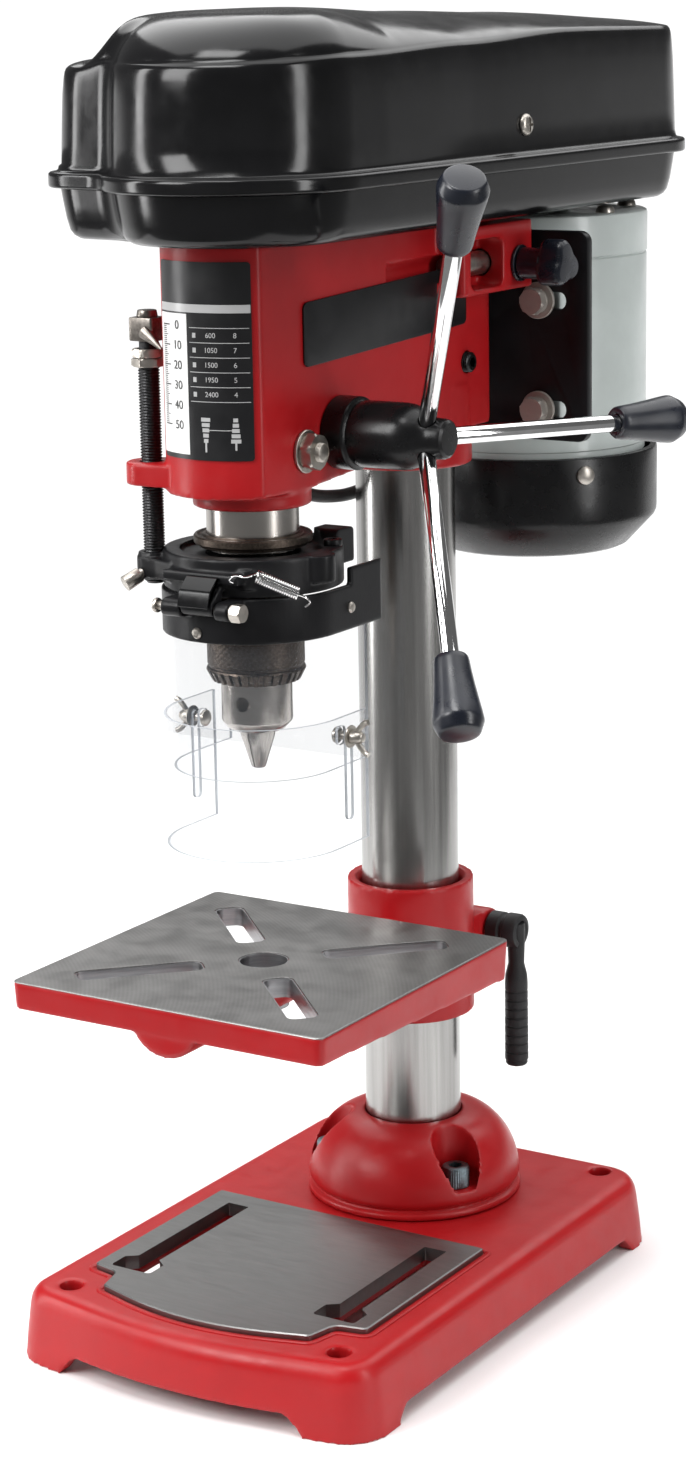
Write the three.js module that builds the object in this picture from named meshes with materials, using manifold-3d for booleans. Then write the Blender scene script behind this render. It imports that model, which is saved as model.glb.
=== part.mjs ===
// Bench drill press, built as an assembly of separate parts.
// Millimetres, +Z up, front of the machine towards -Y, feed handle on the +X side.
import * as THREE from "three";
import { mergeVertices } from "three/addons/utils/BufferGeometryUtils.js";
import Module from "manifold-3d";

const wasm = await Module();
wasm.setup();

// ---------------------------------------------------------------- driving dimensions
const GAP = 0.3; // clearance between touching parts
const COLUMN_R = 23;
const COLUMN_TOP = 497;
const SPINDLE_Y = -127; // spindle axis, in front of the column axis
const MOTOR_Y = 122; // motor axis, behind the column axis

const BASE_TOP = 33.6;
const BASE_HALF_WIDTH = 95;
const BASE_REAR = 75;
const BASE_FRONT = -198;
const BASE_BULGE = 18; // how far the curved front stands out at the middle
const PAD_TOP = 36.5;
const BOLT_X = 71.4; // bench bolt holes
const BOLT_FRONT_Y = -182.8;
const BOLT_REAR_Y = 57.9;

const FLANGE_R = 51; // column foot
const FLANGE_TOP = 73.2;
const FLANGE_BOLT_CIRCLE = 40.5;
const FLANGE_SEAT = 46; // floor of each bolt pocket
const LEAD_Z = 371; // where the motor lead enters the end cap

const TABLE_HALF = 80.4;
const TABLE_REAR = -47;
const TABLE_FRONT = -205.8;
const TABLE_TOP = 182.6;
const SLOT_LENGTH = 56.5;
const SLOT_WIDTH = 13.5;
const SLOT_OFFSET = 39.3;
const TILT_Z = 155;
const COLLAR_R = 30;
const COLLAR_BOTTOM = 124.5;
const COLLAR_TOP = 190;

const HEAD_TOP = 499.7;
const HEAD_HALF = 25;
const QUILL_R = 20;
const QUILL_BOTTOM = 368;
const QUILL_TOP = 470;
const FEED_Y = -99; // pinion and feed handle axis
const FEED_Z = 416;
const DEPTH_X = -36.4; // depth rod axis
const DEPTH_Y = -149;

const FLANGE_Z = 521.7; // joint between belt housing and its lid
const HOUSING_BOTTOM = 500;
const PULLEY_BOTTOM = 508;
const PULLEY_STEP = 10;
const SPINDLE_STEPS = [39.5, 35, 30, 25.7, 19.4];
const MOTOR_STEPS = [16.4, 21.2, 26.1, 30.3, 36.6];
const BELT_STEP = 2; // the belt runs on the middle step

const HINGE_Y = -172; // guard hinge
const HINGE_Z = 349;
const BAR_X = 31; // motor slide bars
const BAR_Z = 479;
const PLATE_Y = 52; // front face of the motor plate

// ---------------------------------------------------------------- shape helpers
// A closed three.js geometry as a solid, with its faces pointing out.
function solid(geometry) {
  const bare = geometry.clone();
  bare.deleteAttribute("normal");
  bare.deleteAttribute("uv");
  const merged = mergeVertices(bare, 1e-4);
  const xyz = merged.attributes.position.array;
  const source = merged.index.array;
  const triangles = [];
  let volume = 0;
  const a = new THREE.Vector3();
  const b = new THREE.Vector3();
  const c = new THREE.Vector3();
  for (let i = 0; i < source.length; i += 3) {
    const [p, q, r] = [source[i], source[i + 1], source[i + 2]];
    if (p === q || q === r || p === r) continue;
    triangles.push(p, q, r);
    a.fromArray(xyz, 3 * p);
    b.fromArray(xyz, 3 * q);
    c.fromArray(xyz, 3 * r);
    volume += a.dot(b.cross(c));
  }
  if (volume < 0) triangles.reverse();
  const mesh = new wasm.Mesh({
    numProp: 3,
    vertProperties: Float32Array.from(xyz),
    triVerts: Uint32Array.from(triangles),
  });
  return new wasm.Manifold(mesh);
}

function join(first, ...others) {
  return others.reduce((body, other) => body.add(other), first);
}

function cut(first, ...others) {
  return others.reduce((body, other) => body.subtract(other), first);
}

function block(low, high) {
  const size = high.map((v, i) => v - low[i]);
  const box = new THREE.BoxGeometry(...size);
  box.translate(...high.map((v, i) => (v + low[i]) / 2));
  return solid(box);
}

// A round bar or cone between two points.
function rod(from, to, radius, endRadius = radius, sides = 24) {
  const start = new THREE.Vector3(...from);
  const axis = new THREE.Vector3(...to).sub(start);
  const bar = new THREE.CylinderGeometry(endRadius, radius, axis.length(), sides);
  bar.translate(0, axis.length() / 2, 0);
  const turn = new THREE.Quaternion().setFromUnitVectors(
    new THREE.Vector3(0, 1, 0),
    axis.clone().normalize(),
  );
  bar.applyQuaternion(turn);
  bar.translate(start.x, start.y, start.z);
  return solid(bar);
}

// A turned part: pairs of radius and distance along the axis, from the axis back to the axis,
// or a closed loop for a ring.
function turned(profile, from, direction, sides = 32) {
  const points = profile.map(([r, along]) => new THREE.Vector2(r, along));
  const closed = profile[0][0] > 0;
  if (closed) points.push(points[0].clone());
  const lathe = new THREE.LatheGeometry(points, sides);
  const turn = new THREE.Quaternion().setFromUnitVectors(
    new THREE.Vector3(0, 1, 0),
    new THREE.Vector3(...direction).normalize(),
  );
  lathe.applyQuaternion(turn);
  lathe.translate(...from);
  return solid(lathe);
}

// Rounded outline: each corner is [x, y, radius]; a corner turns by an arc in a few steps.
function outline(corners, steps = 4) {
  const points = [];
  corners.forEach(([x, y, radius], i) => {
    const here = new THREE.Vector2(x, y);
    if (!radius) {
      points.push(here);
      return;
    }
    const before = new THREE.Vector2(...corners.at(i - 1).slice(0, 2)).sub(here).normalize();
    const after = new THREE.Vector2(...corners[(i + 1) % corners.length].slice(0, 2));
    after.sub(here).normalize();
    const half = Math.acos(THREE.MathUtils.clamp(before.dot(after), -1, 1)) / 2;
    const centre = before.clone().add(after).normalize().multiplyScalar(radius / Math.sin(half));
    centre.add(here);
    const start = here.clone().addScaledVector(before, radius / Math.tan(half)).sub(centre);
    const end = here.clone().addScaledVector(after, radius / Math.tan(half)).sub(centre);
    const turn = Math.atan2(start.cross(end), start.dot(end));
    for (let k = 0; k <= steps; k += 1) {
      points.push(start.clone().rotateAround(new THREE.Vector2(), (turn * k) / steps).add(centre));
    }
  });
  return points;
}

// The outline moved inwards by a distance.
function inset(points, distance) {
  const sign = THREE.ShapeUtils.area(points) > 0 ? 1 : -1;
  return points.map((point, i) => {
    const a = point.clone().sub(points.at(i - 1)).normalize();
    const b = points[(i + 1) % points.length].clone().sub(point).normalize();
    const normal = new THREE.Vector2(-a.y - b.y, a.x + b.x).normalize();
    const stretch = Math.max(0.5, -a.y * normal.x + a.x * normal.y);
    return point.clone().addScaledVector(normal, (sign * distance) / stretch);
  });
}

// The outline drawn in towards its middle by a distance on every side.
function shrunk(points, distance) {
  const box = new THREE.Box2().setFromPoints(points);
  const middle = box.getCenter(new THREE.Vector2());
  const size = box.getSize(new THREE.Vector2());
  const scale = new THREE.Vector2(1 - (2 * distance) / size.x, 1 - (2 * distance) / size.y);
  return points.map((point) => point.clone().sub(middle).multiply(scale).add(middle));
}

// A solid through level outlines, each with the same number of points: [points, z].
function loft(levels) {
  const count = levels[0][0].length;
  const xyz = [];
  const faces = [];
  for (const [points, z] of levels) {
    for (const p of points) xyz.push(p.x, p.y, z);
  }
  for (let level = 0; level + 1 < levels.length; level += 1) {
    for (let i = 0; i < count; i += 1) {
      const a = level * count + i;
      const b = level * count + ((i + 1) % count);
      faces.push(a, b, b + count, a, b + count, a + count);
    }
  }
  const top = (levels.length - 1) * count;
  for (const [a, b, c] of THREE.ShapeUtils.triangulateShape(levels[0][0], [])) faces.push(a, c, b);
  for (const [a, b, c] of THREE.ShapeUtils.triangulateShape(levels.at(-1)[0], [])) {
    faces.push(top + a, top + b, top + c);
  }
  const geometry = new THREE.BufferGeometry();
  geometry.setAttribute("position", new THREE.Float32BufferAttribute(xyz, 3));
  geometry.setIndex(faces);
  return solid(geometry);
}

function slab(points, low, high) {
  const anticlockwise = THREE.ShapeUtils.area(points) > 0 ? points : points.slice().reverse();
  return loft([
    [anticlockwise, low],
    [anticlockwise, high],
  ]);
}

function pillar(x, y, radius, low, high, sides = 32) {
  return rod([x, y, low], [x, y, high], radius, radius, sides);
}

// ---------------------------------------------------------------- materials and nodes
function paint(color, roughness, metalness) {
  return { color, roughness, metalness };
}

const RED = paint(0xa31c22, 0.4, 0.1);
const BLACK_GLOSS = paint(0x141416, 0.2, 0);
const BLACK_METAL = paint(0x17181a, 0.45, 0.3);
const BLACK_PLASTIC = paint(0x1d2026, 0.5, 0);
const STEEL = paint(0xb4b4b2, 0.28, 1);
const CHROME = paint(0xe2e2e4, 0.12, 1);
const IRON = paint(0x77767a, 0.4, 0.9);
const DARK_STEEL = paint(0x4b443e, 0.45, 0.9);
const MOTOR_GREY = paint(0xc6cccb, 0.45, 0.2);
const CLEAR = paint(0xdfe6ea, 0.05, 0);
const RUBBER = paint(0x191919, 0.8, 0);
const GREEN_PLASTIC = paint(0x1d8a3c, 0.4, 0);
const RED_PLASTIC = paint(0xc01818, 0.4, 0);

const machine = new THREE.Group();

function node(name, body, finish) {
  const { vertProperties, triVerts } = body.getMesh();
  const geometry = new THREE.BufferGeometry();
  geometry.setAttribute("position", new THREE.BufferAttribute(Float32Array.from(vertProperties), 3));
  geometry.setIndex(new THREE.BufferAttribute(Uint32Array.from(triVerts), 1));
  geometry.computeVertexNormals();
  const material = new THREE.MeshStandardMaterial({ ...finish, flatShading: true });
  const mesh = new THREE.Mesh(geometry, material);
  mesh.name = name;
  machine.add(mesh);
}

// ---------------------------------------------------------------- base and column
function baseOutline() {
  return outline(
    [
      [BASE_HALF_WIDTH, BASE_REAR, 22],
      [-BASE_HALF_WIDTH, BASE_REAR, 22],
      [-BASE_HALF_WIDTH, BASE_FRONT, 20],
      [0, BASE_FRONT - BASE_BULGE, 260],
      [BASE_HALF_WIDTH, BASE_FRONT, 20],
    ],
    5,
  );
}

function boltPlaces() {
  return [-1, 1].flatMap((side) => [
    [side * BOLT_X, BOLT_FRONT_Y],
    [side * BOLT_X, BOLT_REAR_Y],
  ]);
}

function flangeBoltPlaces() {
  return [90, 210, 330].map((degrees) => {
    const angle = THREE.MathUtils.degToRad(degrees);
    return [FLANGE_BOLT_CIRCLE * Math.cos(angle), FLANGE_BOLT_CIRCLE * Math.sin(angle)];
  });
}

function base() {
  const plan = baseOutline();
  const shell = loft([
    [plan, 0],
    [inset(plan, 3), 24],
    [inset(plan, 5), 31],
    [inset(plan, 9), BASE_TOP],
  ]);
  const hollow = loft([
    [inset(plan, 7), -1],
    [inset(plan, 10), 26.6],
  ]);
  let body = cut(shell, hollow);
  const pad = outline([
    [73, -60.3, 0],
    [-73, -60.3, 0],
    [-73, -163, 3],
    [-58, -166, 4],
    [-55, -181, 3],
    [0, -198, 120],
    [55, -181, 3],
    [58, -166, 4],
    [73, -163, 3],
  ], 3);
  body = join(body, slab(pad, 30, PAD_TOP));
  for (const [x, y] of boltPlaces()) {
    const boss = pillar(x, y, 14, 0, 30, 20);
    body = join(body, boss);
    body = cut(body, pillar(x, y, 5.5, -1, 40, 20));
  }
  for (const [x, y] of flangeBoltPlaces()) {
    body = join(body, pillar(x, y, 9, 18, 30, 16));
    body = cut(body, pillar(x, y, 4.3, 10, 40, 16));
  }
  for (const side of [-1, 1]) {
    const slot = outline([
      [side * 60.3, -72.5, 0],
      [side * 60.3, -146, 0],
      [side * 65.3, -150, 0],
      [side * 65.3, -161, 2],
      [side * 43.8, -161, 2],
      [side * 43.8, -150, 0],
      [side * 48.8, -146, 0],
      [side * 48.8, -72.5, 0],
    ], 2);
    body = cut(body, slab(slot, 10, 40));
  }
  const sideArch = outline([[-166, -1, 0], [44, -1, 0], [38, 6, 3], [-160, 6, 3]], 3);
  const frontArch = outline([[-60, -1, 0], [60, -1, 0], [54, 7, 3], [-54, 7, 3]], 3);
  const across = new THREE.Matrix4().makeRotationX(Math.PI / 2);
  const along = new THREE.Matrix4().makeRotationZ(Math.PI / 2).multiply(across);
  body = cut(body, archway(sideArch, -120, 120, along), archway(frontArch, -90, 230, across));
  return body;
}

// A level slot under a skirt: an outline in width and height, run along the other level axis.
function archway(points, low, high, turn) {
  const shape = new THREE.Shape(points);
  const run = new THREE.ExtrudeGeometry(shape, { depth: high - low, bevelEnabled: false });
  run.translate(0, 0, low);
  run.applyMatrix4(turn);
  return solid(run);
}

function columnFlange() {
  const foot = BASE_TOP + GAP;
  const bore = COLUMN_R + GAP;
  const dome = [
    [bore, foot],
    [FLANGE_R, foot],
    [FLANGE_R, 36.6],
    [49.3, 37],
    [49.3, 39.6],
    [50.8, 40.4],
    [50, 46],
    [47.4, 55.5],
    [43, 62.5],
    [37.5, 67.7],
    [31, 71.5],
    [26.5, FLANGE_TOP],
    [bore, FLANGE_TOP],
  ];
  let body = turned(dome, [0, 0, 0], [0, 0, 1], 36);
  for (const [x, y] of flangeBoltPlaces()) {
    body = cut(body, pillar(x, y, 11, FLANGE_SEAT, 80, 24), pillar(x, y, 4.4, 30, 50, 16));
  }
  return body;
}

function flangeBolt([x, y]) {
  const head = pillar(x, y, 6.4, FLANGE_SEAT + GAP, FLANGE_SEAT + 10.3, 20);
  const shank = pillar(x, y, 4, 20, FLANGE_SEAT + 1, 16);
  const socket = pillar(x, y, 3, FLANGE_SEAT + 5.5, 60, 6);
  return cut(join(head, shank), socket);
}

function column() {
  const sides = 48;
  const outer = pillar(0, 0, COLUMN_R, BASE_TOP + GAP, COLUMN_TOP, sides);
  return cut(outer, pillar(0, 0, 20, 0, 600, sides));
}

node("base", base(), RED);
node("column_flange", columnFlange(), RED);
flangeBoltPlaces().forEach((place, i) => node(`flange_bolt_${i + 1}`, flangeBolt(place), DARK_STEEL));
node("column", column(), STEEL);

// ---------------------------------------------------------------- table and its bracket
function tableBracket() {
  let body = pillar(0, 0, COLLAR_R, COLLAR_BOTTOM, COLLAR_TOP, 48);
  const arm = rod([0, TABLE_REAR - 2.7, TILT_Z], [0, -20, TILT_Z], 14, 14, 24);
  const ears = block([-14, 22, 149], [24, 35, 167]);
  const boss = rod([-14, 35, 158], [24, 35, 158], 9, 9, 28);
  body = join(body, arm, ears, boss);
  const bore = pillar(0, 0, COLUMN_R + GAP, 100, 210, 48);
  const split = block([-1.5, 15, 100], [1.5, 60, 210]);
  const tiltHole = rod([0, -60, TILT_Z], [0, -26.5, TILT_Z], 5, 5, 20);
  const clampHole = rod([-20, 35, 158], [40, 35, 158], 4.4, 4.4, 20);
  return cut(body, bore, split, tiltHole, clampHole);
}

// A slot with rounded corners, laid along the table's diagonal through a point.
function tableSlot(x, y) {
  const along = new THREE.Vector2(x, y - SPINDLE_Y).normalize();
  const side = new THREE.Vector2(-along.y, along.x);
  const corners = [[1, 1], [-1, 1], [-1, -1], [1, -1]].map(([a, b]) => [
    x + (along.x * a * SLOT_LENGTH + side.x * b * SLOT_WIDTH) / 2,
    y + (along.y * a * SLOT_LENGTH + side.y * b * SLOT_WIDTH) / 2,
    4.5,
  ]);
  return slab(outline(corners, 4), 150, 200);
}

function table() {
  const size = TABLE_HALF;
  const plan = outline([
    [size, TABLE_REAR, 3],
    [-size, TABLE_REAR, 3],
    [-size, TABLE_FRONT, 3],
    [size, TABLE_FRONT, 3],
  ], 2);
  const plate = loft([
    [inset(plan, 1.5), 161],
    [plan, TABLE_TOP - 1],
    [inset(plan, 0.8), TABLE_TOP],
  ]);
  const depthOfRearSkirt = 163.5;
  const below = new THREE.Shape([
    new THREE.Vector2(TABLE_FRONT - 5, 170),
    new THREE.Vector2(TABLE_FRONT - 5, 150),
    new THREE.Vector2(TABLE_REAR + 5, 150),
    new THREE.Vector2(TABLE_REAR + 5, depthOfRearSkirt),
  ]);
  const wedge = new THREE.ExtrudeGeometry(below, { depth: 200, bevelEnabled: false });
  wedge.applyMatrix4(new THREE.Matrix4().makeBasis(
    new THREE.Vector3(0, 1, 0),
    new THREE.Vector3(0, 0, 1),
    new THREE.Vector3(1, 0, 0),
  ));
  wedge.translate(-100, 0, 0);
  const recess = block([-size + 6, TABLE_FRONT + 6, 140], [size - 6, TABLE_REAR + 20, 174]);
  let body = cut(plate, solid(wedge), recess);
  const rib = rod([0, TABLE_FRONT + 1.4, 178], [0, -60, 178], 18, 18, 28);
  const aboveTop = block([-30, -230, TABLE_TOP - 4], [30, 0, 230]);
  const boss = rod([0, -75, TILT_Z], [0, TABLE_REAR - 3, TILT_Z], 15, 15, 24);
  const web = block([-7, -75, 155], [7, TABLE_REAR - 3, 176]);
  body = join(body, cut(rib, aboveTop), boss, web);
  const rearSpace = block([-26, TABLE_REAR - 2.9, 140], [26, 0, 170.6]);
  const hole = pillar(0, SPINDLE_Y, 11, 140, 200, 28);
  const tiltHole = rod([0, -90, TILT_Z], [0, 0, TILT_Z], 5, 5, 20);
  const headSpace = block([-9.5, -86, 140], [9.5, -75, 164.5]);
  body = cut(body, rearSpace, hole, tiltHole, headSpace);
  for (const side of [-1, 1]) {
    const x = side * SLOT_OFFSET;
    body = cut(body, tableSlot(x, SPINDLE_Y + SLOT_OFFSET), tableSlot(x, SPINDLE_Y - SLOT_OFFSET));
  }
  return body;
}

function tiltBolt() {
  const head = rod([0, -82, TILT_Z], [0, -75 - GAP, TILT_Z], 8, 8, 6);
  const shank = rod([0, -76, TILT_Z], [0, -30, TILT_Z], 4.6, 4.6, 20);
  return join(head, shank);
}

function clampLever() {
  const hub = rod([24 + GAP, 35, 158], [41, 35, 158], 8, 8, 24);
  const stud = rod([-18, 35, 158], [25, 35, 158], 4, 4, 20);
  const arm = rod([37.3, 35, 156], [37.3, 35, 90], 4.4, 5.4, 20);
  return join(hub, stud, arm);
}

node("table_bracket", tableBracket(), RED);
node("table", table(), RED);
node("table_tilt_bolt", tiltBolt(), DARK_STEEL);
node("table_clamp_lever", clampLever(), BLACK_PLASTIC);

// ---------------------------------------------------------------- head
function headPlan() {
  const points = [];
  const noseY = -129;
  const noseR = 36;
  const half = Math.asin(HEAD_HALF / noseR);
  for (let k = 0; k <= 10; k += 1) {
    const angle = half * (1 - k / 5);
    points.push(new THREE.Vector2(noseR * Math.sin(angle), noseY - noseR * Math.cos(angle)));
  }
  points.push(new THREE.Vector2(-HEAD_HALF, -28), new THREE.Vector2(HEAD_HALF, -28));
  return points;
}

function headCasting() {
  const columnBlock = outline([[30, 32, 6], [-30, 32, 6], [-30, -30, 3], [30, -30, 3]], 3);
  const body = slab(headPlan(), 394, HEAD_TOP);
  const slope = new THREE.Shape([
    new THREE.Vector2(-170, 380),
    new THREE.Vector2(-26, 380),
    new THREE.Vector2(-26, 405),
    new THREE.Vector2(-170, 390.5),
  ]);
  const under = new THREE.ExtrudeGeometry(slope, { depth: 80, bevelEnabled: false });
  under.applyMatrix4(new THREE.Matrix4().makeBasis(
    new THREE.Vector3(0, 1, 0),
    new THREE.Vector3(0, 0, 1),
    new THREE.Vector3(1, 0, 0),
  ));
  under.translate(-40, 0, 0);
  const lip = outline([
    [HEAD_HALF, -130, 0],
    [-20, -130, 0],
    [DEPTH_X, DEPTH_Y + 11, 3],
    [DEPTH_X - 11, DEPTH_Y + 11, 10],
    [DEPTH_X - 11, DEPTH_Y - 11, 10],
    [-16, -163, 20],
    [18, -163, 20],
    [HEAD_HALF, -156, 2],
  ]);
  let casting = join(
    cut(body, solid(under)),
    slab(columnBlock, 405, HEAD_TOP),
    pillar(0, 0, 31, 388, 420, 40),
    slab(lip, 396.5, 406.6),
    pillar(0, SPINDLE_Y, 25.5, 387, 402, 40),
  );
  for (const side of [-1, 1]) {
    const near = Math.min(side * 20, side * 44);
    const lug = block([near, -20, 465], [near + 24, 45, 497]);
    casting = join(casting, lug);
    casting = cut(casting, rod([side * BAR_X, -60, BAR_Z], [side * BAR_X, 80, BAR_Z], 5.9, 5.9, 20));
  }
  casting = cut(casting, block([38, -13, 469], [50, 16, 491]));
  const bores = [
    pillar(0, 0, COLUMN_R + GAP, 300, COLUMN_TOP + GAP, 48),
    pillar(0, SPINDLE_Y, QUILL_R + GAP, 300, 474, 48),
    pillar(0, SPINDLE_Y, 15, 470, 480, 32),
    pillar(0, SPINDLE_Y, 20.3, 478, 520, 32),
    rod([-60, FEED_Y, FEED_Z], [60, FEED_Y, FEED_Z], 8, 8, 24),
    rod([10, -125, 411], [60, -125, 411], 4.3, 4.3, 20),
    rod([20, 6.5, 434.7], [60, 6.5, 434.7], 4.3, 4.3, 20),
    rod([36, 30, 478], [60, 30, 478], 4.3, 4.3, 20),
    pillar(DEPTH_X, DEPTH_Y, 4.7, 380, 420, 24),
    block([-19, -84, 380], [19, -32, 493]),
  ];
  return cut(casting, ...bores);
}

function guideScrew() {
  return rod([16.6, -125, 411], [35, -125, 411], 4, 4, 20);
}

function pulleyBearing() {
  return turned([[13.3, 480.3], [20, 480.3], [20, 492], [13.3, 492]], [0, SPINDLE_Y, 0], [0, 0, 1]);
}

function returnSpringCap() {
  const wall = -HEAD_HALF - GAP;
  const cup = [[17.5, wall], [20, wall], [20, -39], [18, -41], [5.8, -41], [5.8, -38.5], [17.5, -38.5]];
  return turned(cup.map(([r, x]) => [r, x]), [0, FEED_Y, FEED_Z], [1, 0, 0], 36);
}

// A flat spiral of strip, wound round the pinion shaft inside its cap.
function returnSpring() {
  const turns = 3.2;
  const steps = 45;
  const strip = 0.7;
  const inner = [];
  const outer = [];
  for (let k = 0; k <= steps; k += 1) {
    const angle = (2 * Math.PI * turns * k) / steps;
    const radius = 6.6 + (9.6 * k) / steps;
    inner.push(new THREE.Vector2(radius * Math.cos(angle), radius * Math.sin(angle)));
    outer.push(new THREE.Vector2((radius + strip) * Math.cos(angle), (radius + strip) * Math.sin(angle)));
  }
  const shape = new THREE.Shape([...outer, ...inner.reverse()]);
  const spiral = new THREE.ExtrudeGeometry(shape, { depth: 8, bevelEnabled: false });
  spiral.applyMatrix4(new THREE.Matrix4().makeRotationY(-Math.PI / 2));
  spiral.translate(-28, FEED_Y, FEED_Z);
  return solid(spiral);
}

const SWITCH_Z = 448;
const BUTTONS = [
  ["start_button", -63, GREEN_PLASTIC],
  ["stop_button", -43, RED_PLASTIC],
];

function switchBox() {
  const wall = -HEAD_HALF - GAP;
  let body = block([-51, -76, 420], [wall - 5.3, -31, 476]);
  body = join(body, block([wall - 6, -72, 424], [wall, -32, 472]));
  for (const [, y] of BUTTONS) {
    body = cut(body, block([-60, y - 7, SWITCH_Z - 11], [-41, y + 7, SWITCH_Z + 11]));
  }
  return cut(body, pillar(-42, -66, 3.4, 410, 426, 16));
}

function button(y) {
  return block([-54, y - 6.3, SWITCH_Z - 10.3], [-45, y + 6.3, SWITCH_Z + 10.3]);
}

node("head_casting", headCasting(), RED);
node("quill_guide_screw", guideScrew(), DARK_STEEL);
node("pulley_bearing", pulleyBearing(), STEEL);
node("return_spring_cap", returnSpringCap(), BLACK_METAL);
node("return_spring", returnSpring(), DARK_STEEL);
node("switch_box", switchBox(), BLACK_PLASTIC);
BUTTONS.forEach(([name, y, finish]) => node(name, button(y), finish));

// ---------------------------------------------------------------- belt housing, lid and belt drive
const NOSE_X = 8; // the round front of the housing
const NOSE_Y = -142;
const NOSE_R = 58;

function coverOutline() {
  const points = [];
  const start = THREE.MathUtils.degToRad(-142);
  for (let k = 0; k <= 12; k += 1) {
    const angle = start + ((0 - start) * k) / 12;
    points.push(new THREE.Vector2(NOSE_X + NOSE_R * Math.cos(angle), NOSE_Y + NOSE_R * Math.sin(angle)));
  }
  const rest = outline([
    [66, 0, 0],
    [66, 182, 34],
    [-89, 182, 34],
    [-89, -172.5, 25],
    [-45, -178, 0],
  ], 5);
  return [...points, ...rest];
}

function beltHousing() {
  const plan = coverOutline();
  const tray = loft([
    [inset(plan, 12), HOUSING_BOTTOM],
    [inset(plan, 7.5), HOUSING_BOTTOM + 4],
    [inset(plan, 5), FLANGE_Z - GAP],
  ]);
  const hollow = loft([
    [inset(plan, 12), HOUSING_BOTTOM + 3],
    [inset(plan, 8), FLANGE_Z + 5],
  ]);
  const hingeEars = join(
    block([-95, -24, 512], [-80, -17, FLANGE_Z - GAP]),
    block([-95, 17, 512], [-80, 24, FLANGE_Z - GAP]),
    rod([-93, -24, 519], [-93, 24, 519], 1.8, 1.8, 16),
  );
  const motorSlot = block([-13, MOTOR_Y - 24, 490], [13, MOTOR_Y + 22, 510]);
  const spindleHole = pillar(0, SPINDLE_Y, 22, 490, 510, 32);
  return cut(join(cut(tray, hollow), hingeEars), motorSlot, spindleHole);
}

function coverLid() {
  const plan = coverOutline();
  const flangeTop = FLANGE_Z + 6.6;
  const shell = loft([
    [plan, FLANGE_Z],
    [plan, flangeTop],
    [inset(plan, 4.5), flangeTop + 0.5],
    [inset(plan, 6.5), 552],
    [inset(plan, 10), 570],
    [inset(plan, 14), 579],
    [shrunk(inset(plan, 14), 10), 587],
    [shrunk(inset(plan, 14), 26), 592],
  ]);
  const hollow = loft([
    [inset(plan, 7.5), FLANGE_Z - 3],
    [inset(plan, 9.5), 552],
    [inset(plan, 13), 568],
    [inset(plan, 17), 576],
    [shrunk(inset(plan, 17), 10), 584],
    [shrunk(inset(plan, 17), 25), 589],
  ]);
  const hook = block([-96, -15, FLANGE_Z - 6], [-88, 15, FLANGE_Z + 4]);
  const barrel = cut(hook, rod([-93, -30, 519], [-93, 30, 519], 2.2, 2.2, 16));
  const clear = block([-90.5, -30, 500], [-80, 30, FLANGE_Z]);
  return join(cut(shell, hollow), cut(barrel, clear));
}

function steppedPulley(radii, y, bore, hub) {
  const profile = [];
  for (const [r, z] of hub) profile.push([r, z]);
  radii.forEach((radius, i) => {
    const z = PULLEY_BOTTOM + i * PULLEY_STEP;
    profile.push([radius + 2, z], [radius - 3, z + 3.4], [radius - 3, z + PULLEY_STEP - 3.4]);
    profile.push([radius + 2, z + PULLEY_STEP]);
  });
  profile.push([bore, PULLEY_BOTTOM + radii.length * PULLEY_STEP]);
  profile.unshift([bore, hub.length ? hub[0][1] : PULLEY_BOTTOM]);
  return turned(profile, [0, y, 0], [0, 0, 1], 24);
}

// The outline of a belt that runs round both pulleys, at a distance from their pitch circles.
function beltLoop(extra) {
  const front = SPINDLE_STEPS[BELT_STEP] + extra;
  const rear = MOTOR_STEPS[BELT_STEP] + extra;
  const lean = Math.asin((front - rear) / (MOTOR_Y - SPINDLE_Y));
  const points = [];
  for (let k = 0; k <= 16; k += 1) {
    const angle = Math.PI - lean + ((Math.PI + 2 * lean) * k) / 16;
    points.push(new THREE.Vector2(front * Math.cos(angle), SPINDLE_Y + front * Math.sin(angle)));
  }
  for (let k = 0; k <= 16; k += 1) {
    const angle = lean + ((Math.PI - 2 * lean) * k) / 16;
    points.push(new THREE.Vector2(rear * Math.cos(angle), MOTOR_Y + rear * Math.sin(angle)));
  }
  return points;
}

function driveBelt() {
  const middle = PULLEY_BOTTOM + (BELT_STEP + 0.5) * PULLEY_STEP;
  const band = slab(beltLoop(2.2), middle - 3.4, middle + 3.4);
  const inside = loft([
    [beltLoop(2.8), middle - 4.4],
    [beltLoop(-2.2), middle - 1.4],
    [beltLoop(-2.2), middle + 1.4],
    [beltLoop(2.8), middle + 4.4],
  ]);
  return cut(band, inside);
}

node("belt_housing", beltHousing(), BLACK_GLOSS);
node("cover_lid", coverLid(), BLACK_GLOSS);
const spindleTail = [[13, 478], [13, PULLEY_BOTTOM]];
node("spindle_pulley", steppedPulley(SPINDLE_STEPS, SPINDLE_Y, 9.2, spindleTail), IRON);
node("motor_pulley", steppedPulley(MOTOR_STEPS, MOTOR_Y, 7.3, []), IRON);
node("drive_belt", driveBelt(), RUBBER);

// ---------------------------------------------------------------- motor
const MOTOR_R = 56;
const MOTOR_BOLT_X = 42.3;
const MOTOR_BOLTS_Z = [459, 408.5];

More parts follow.
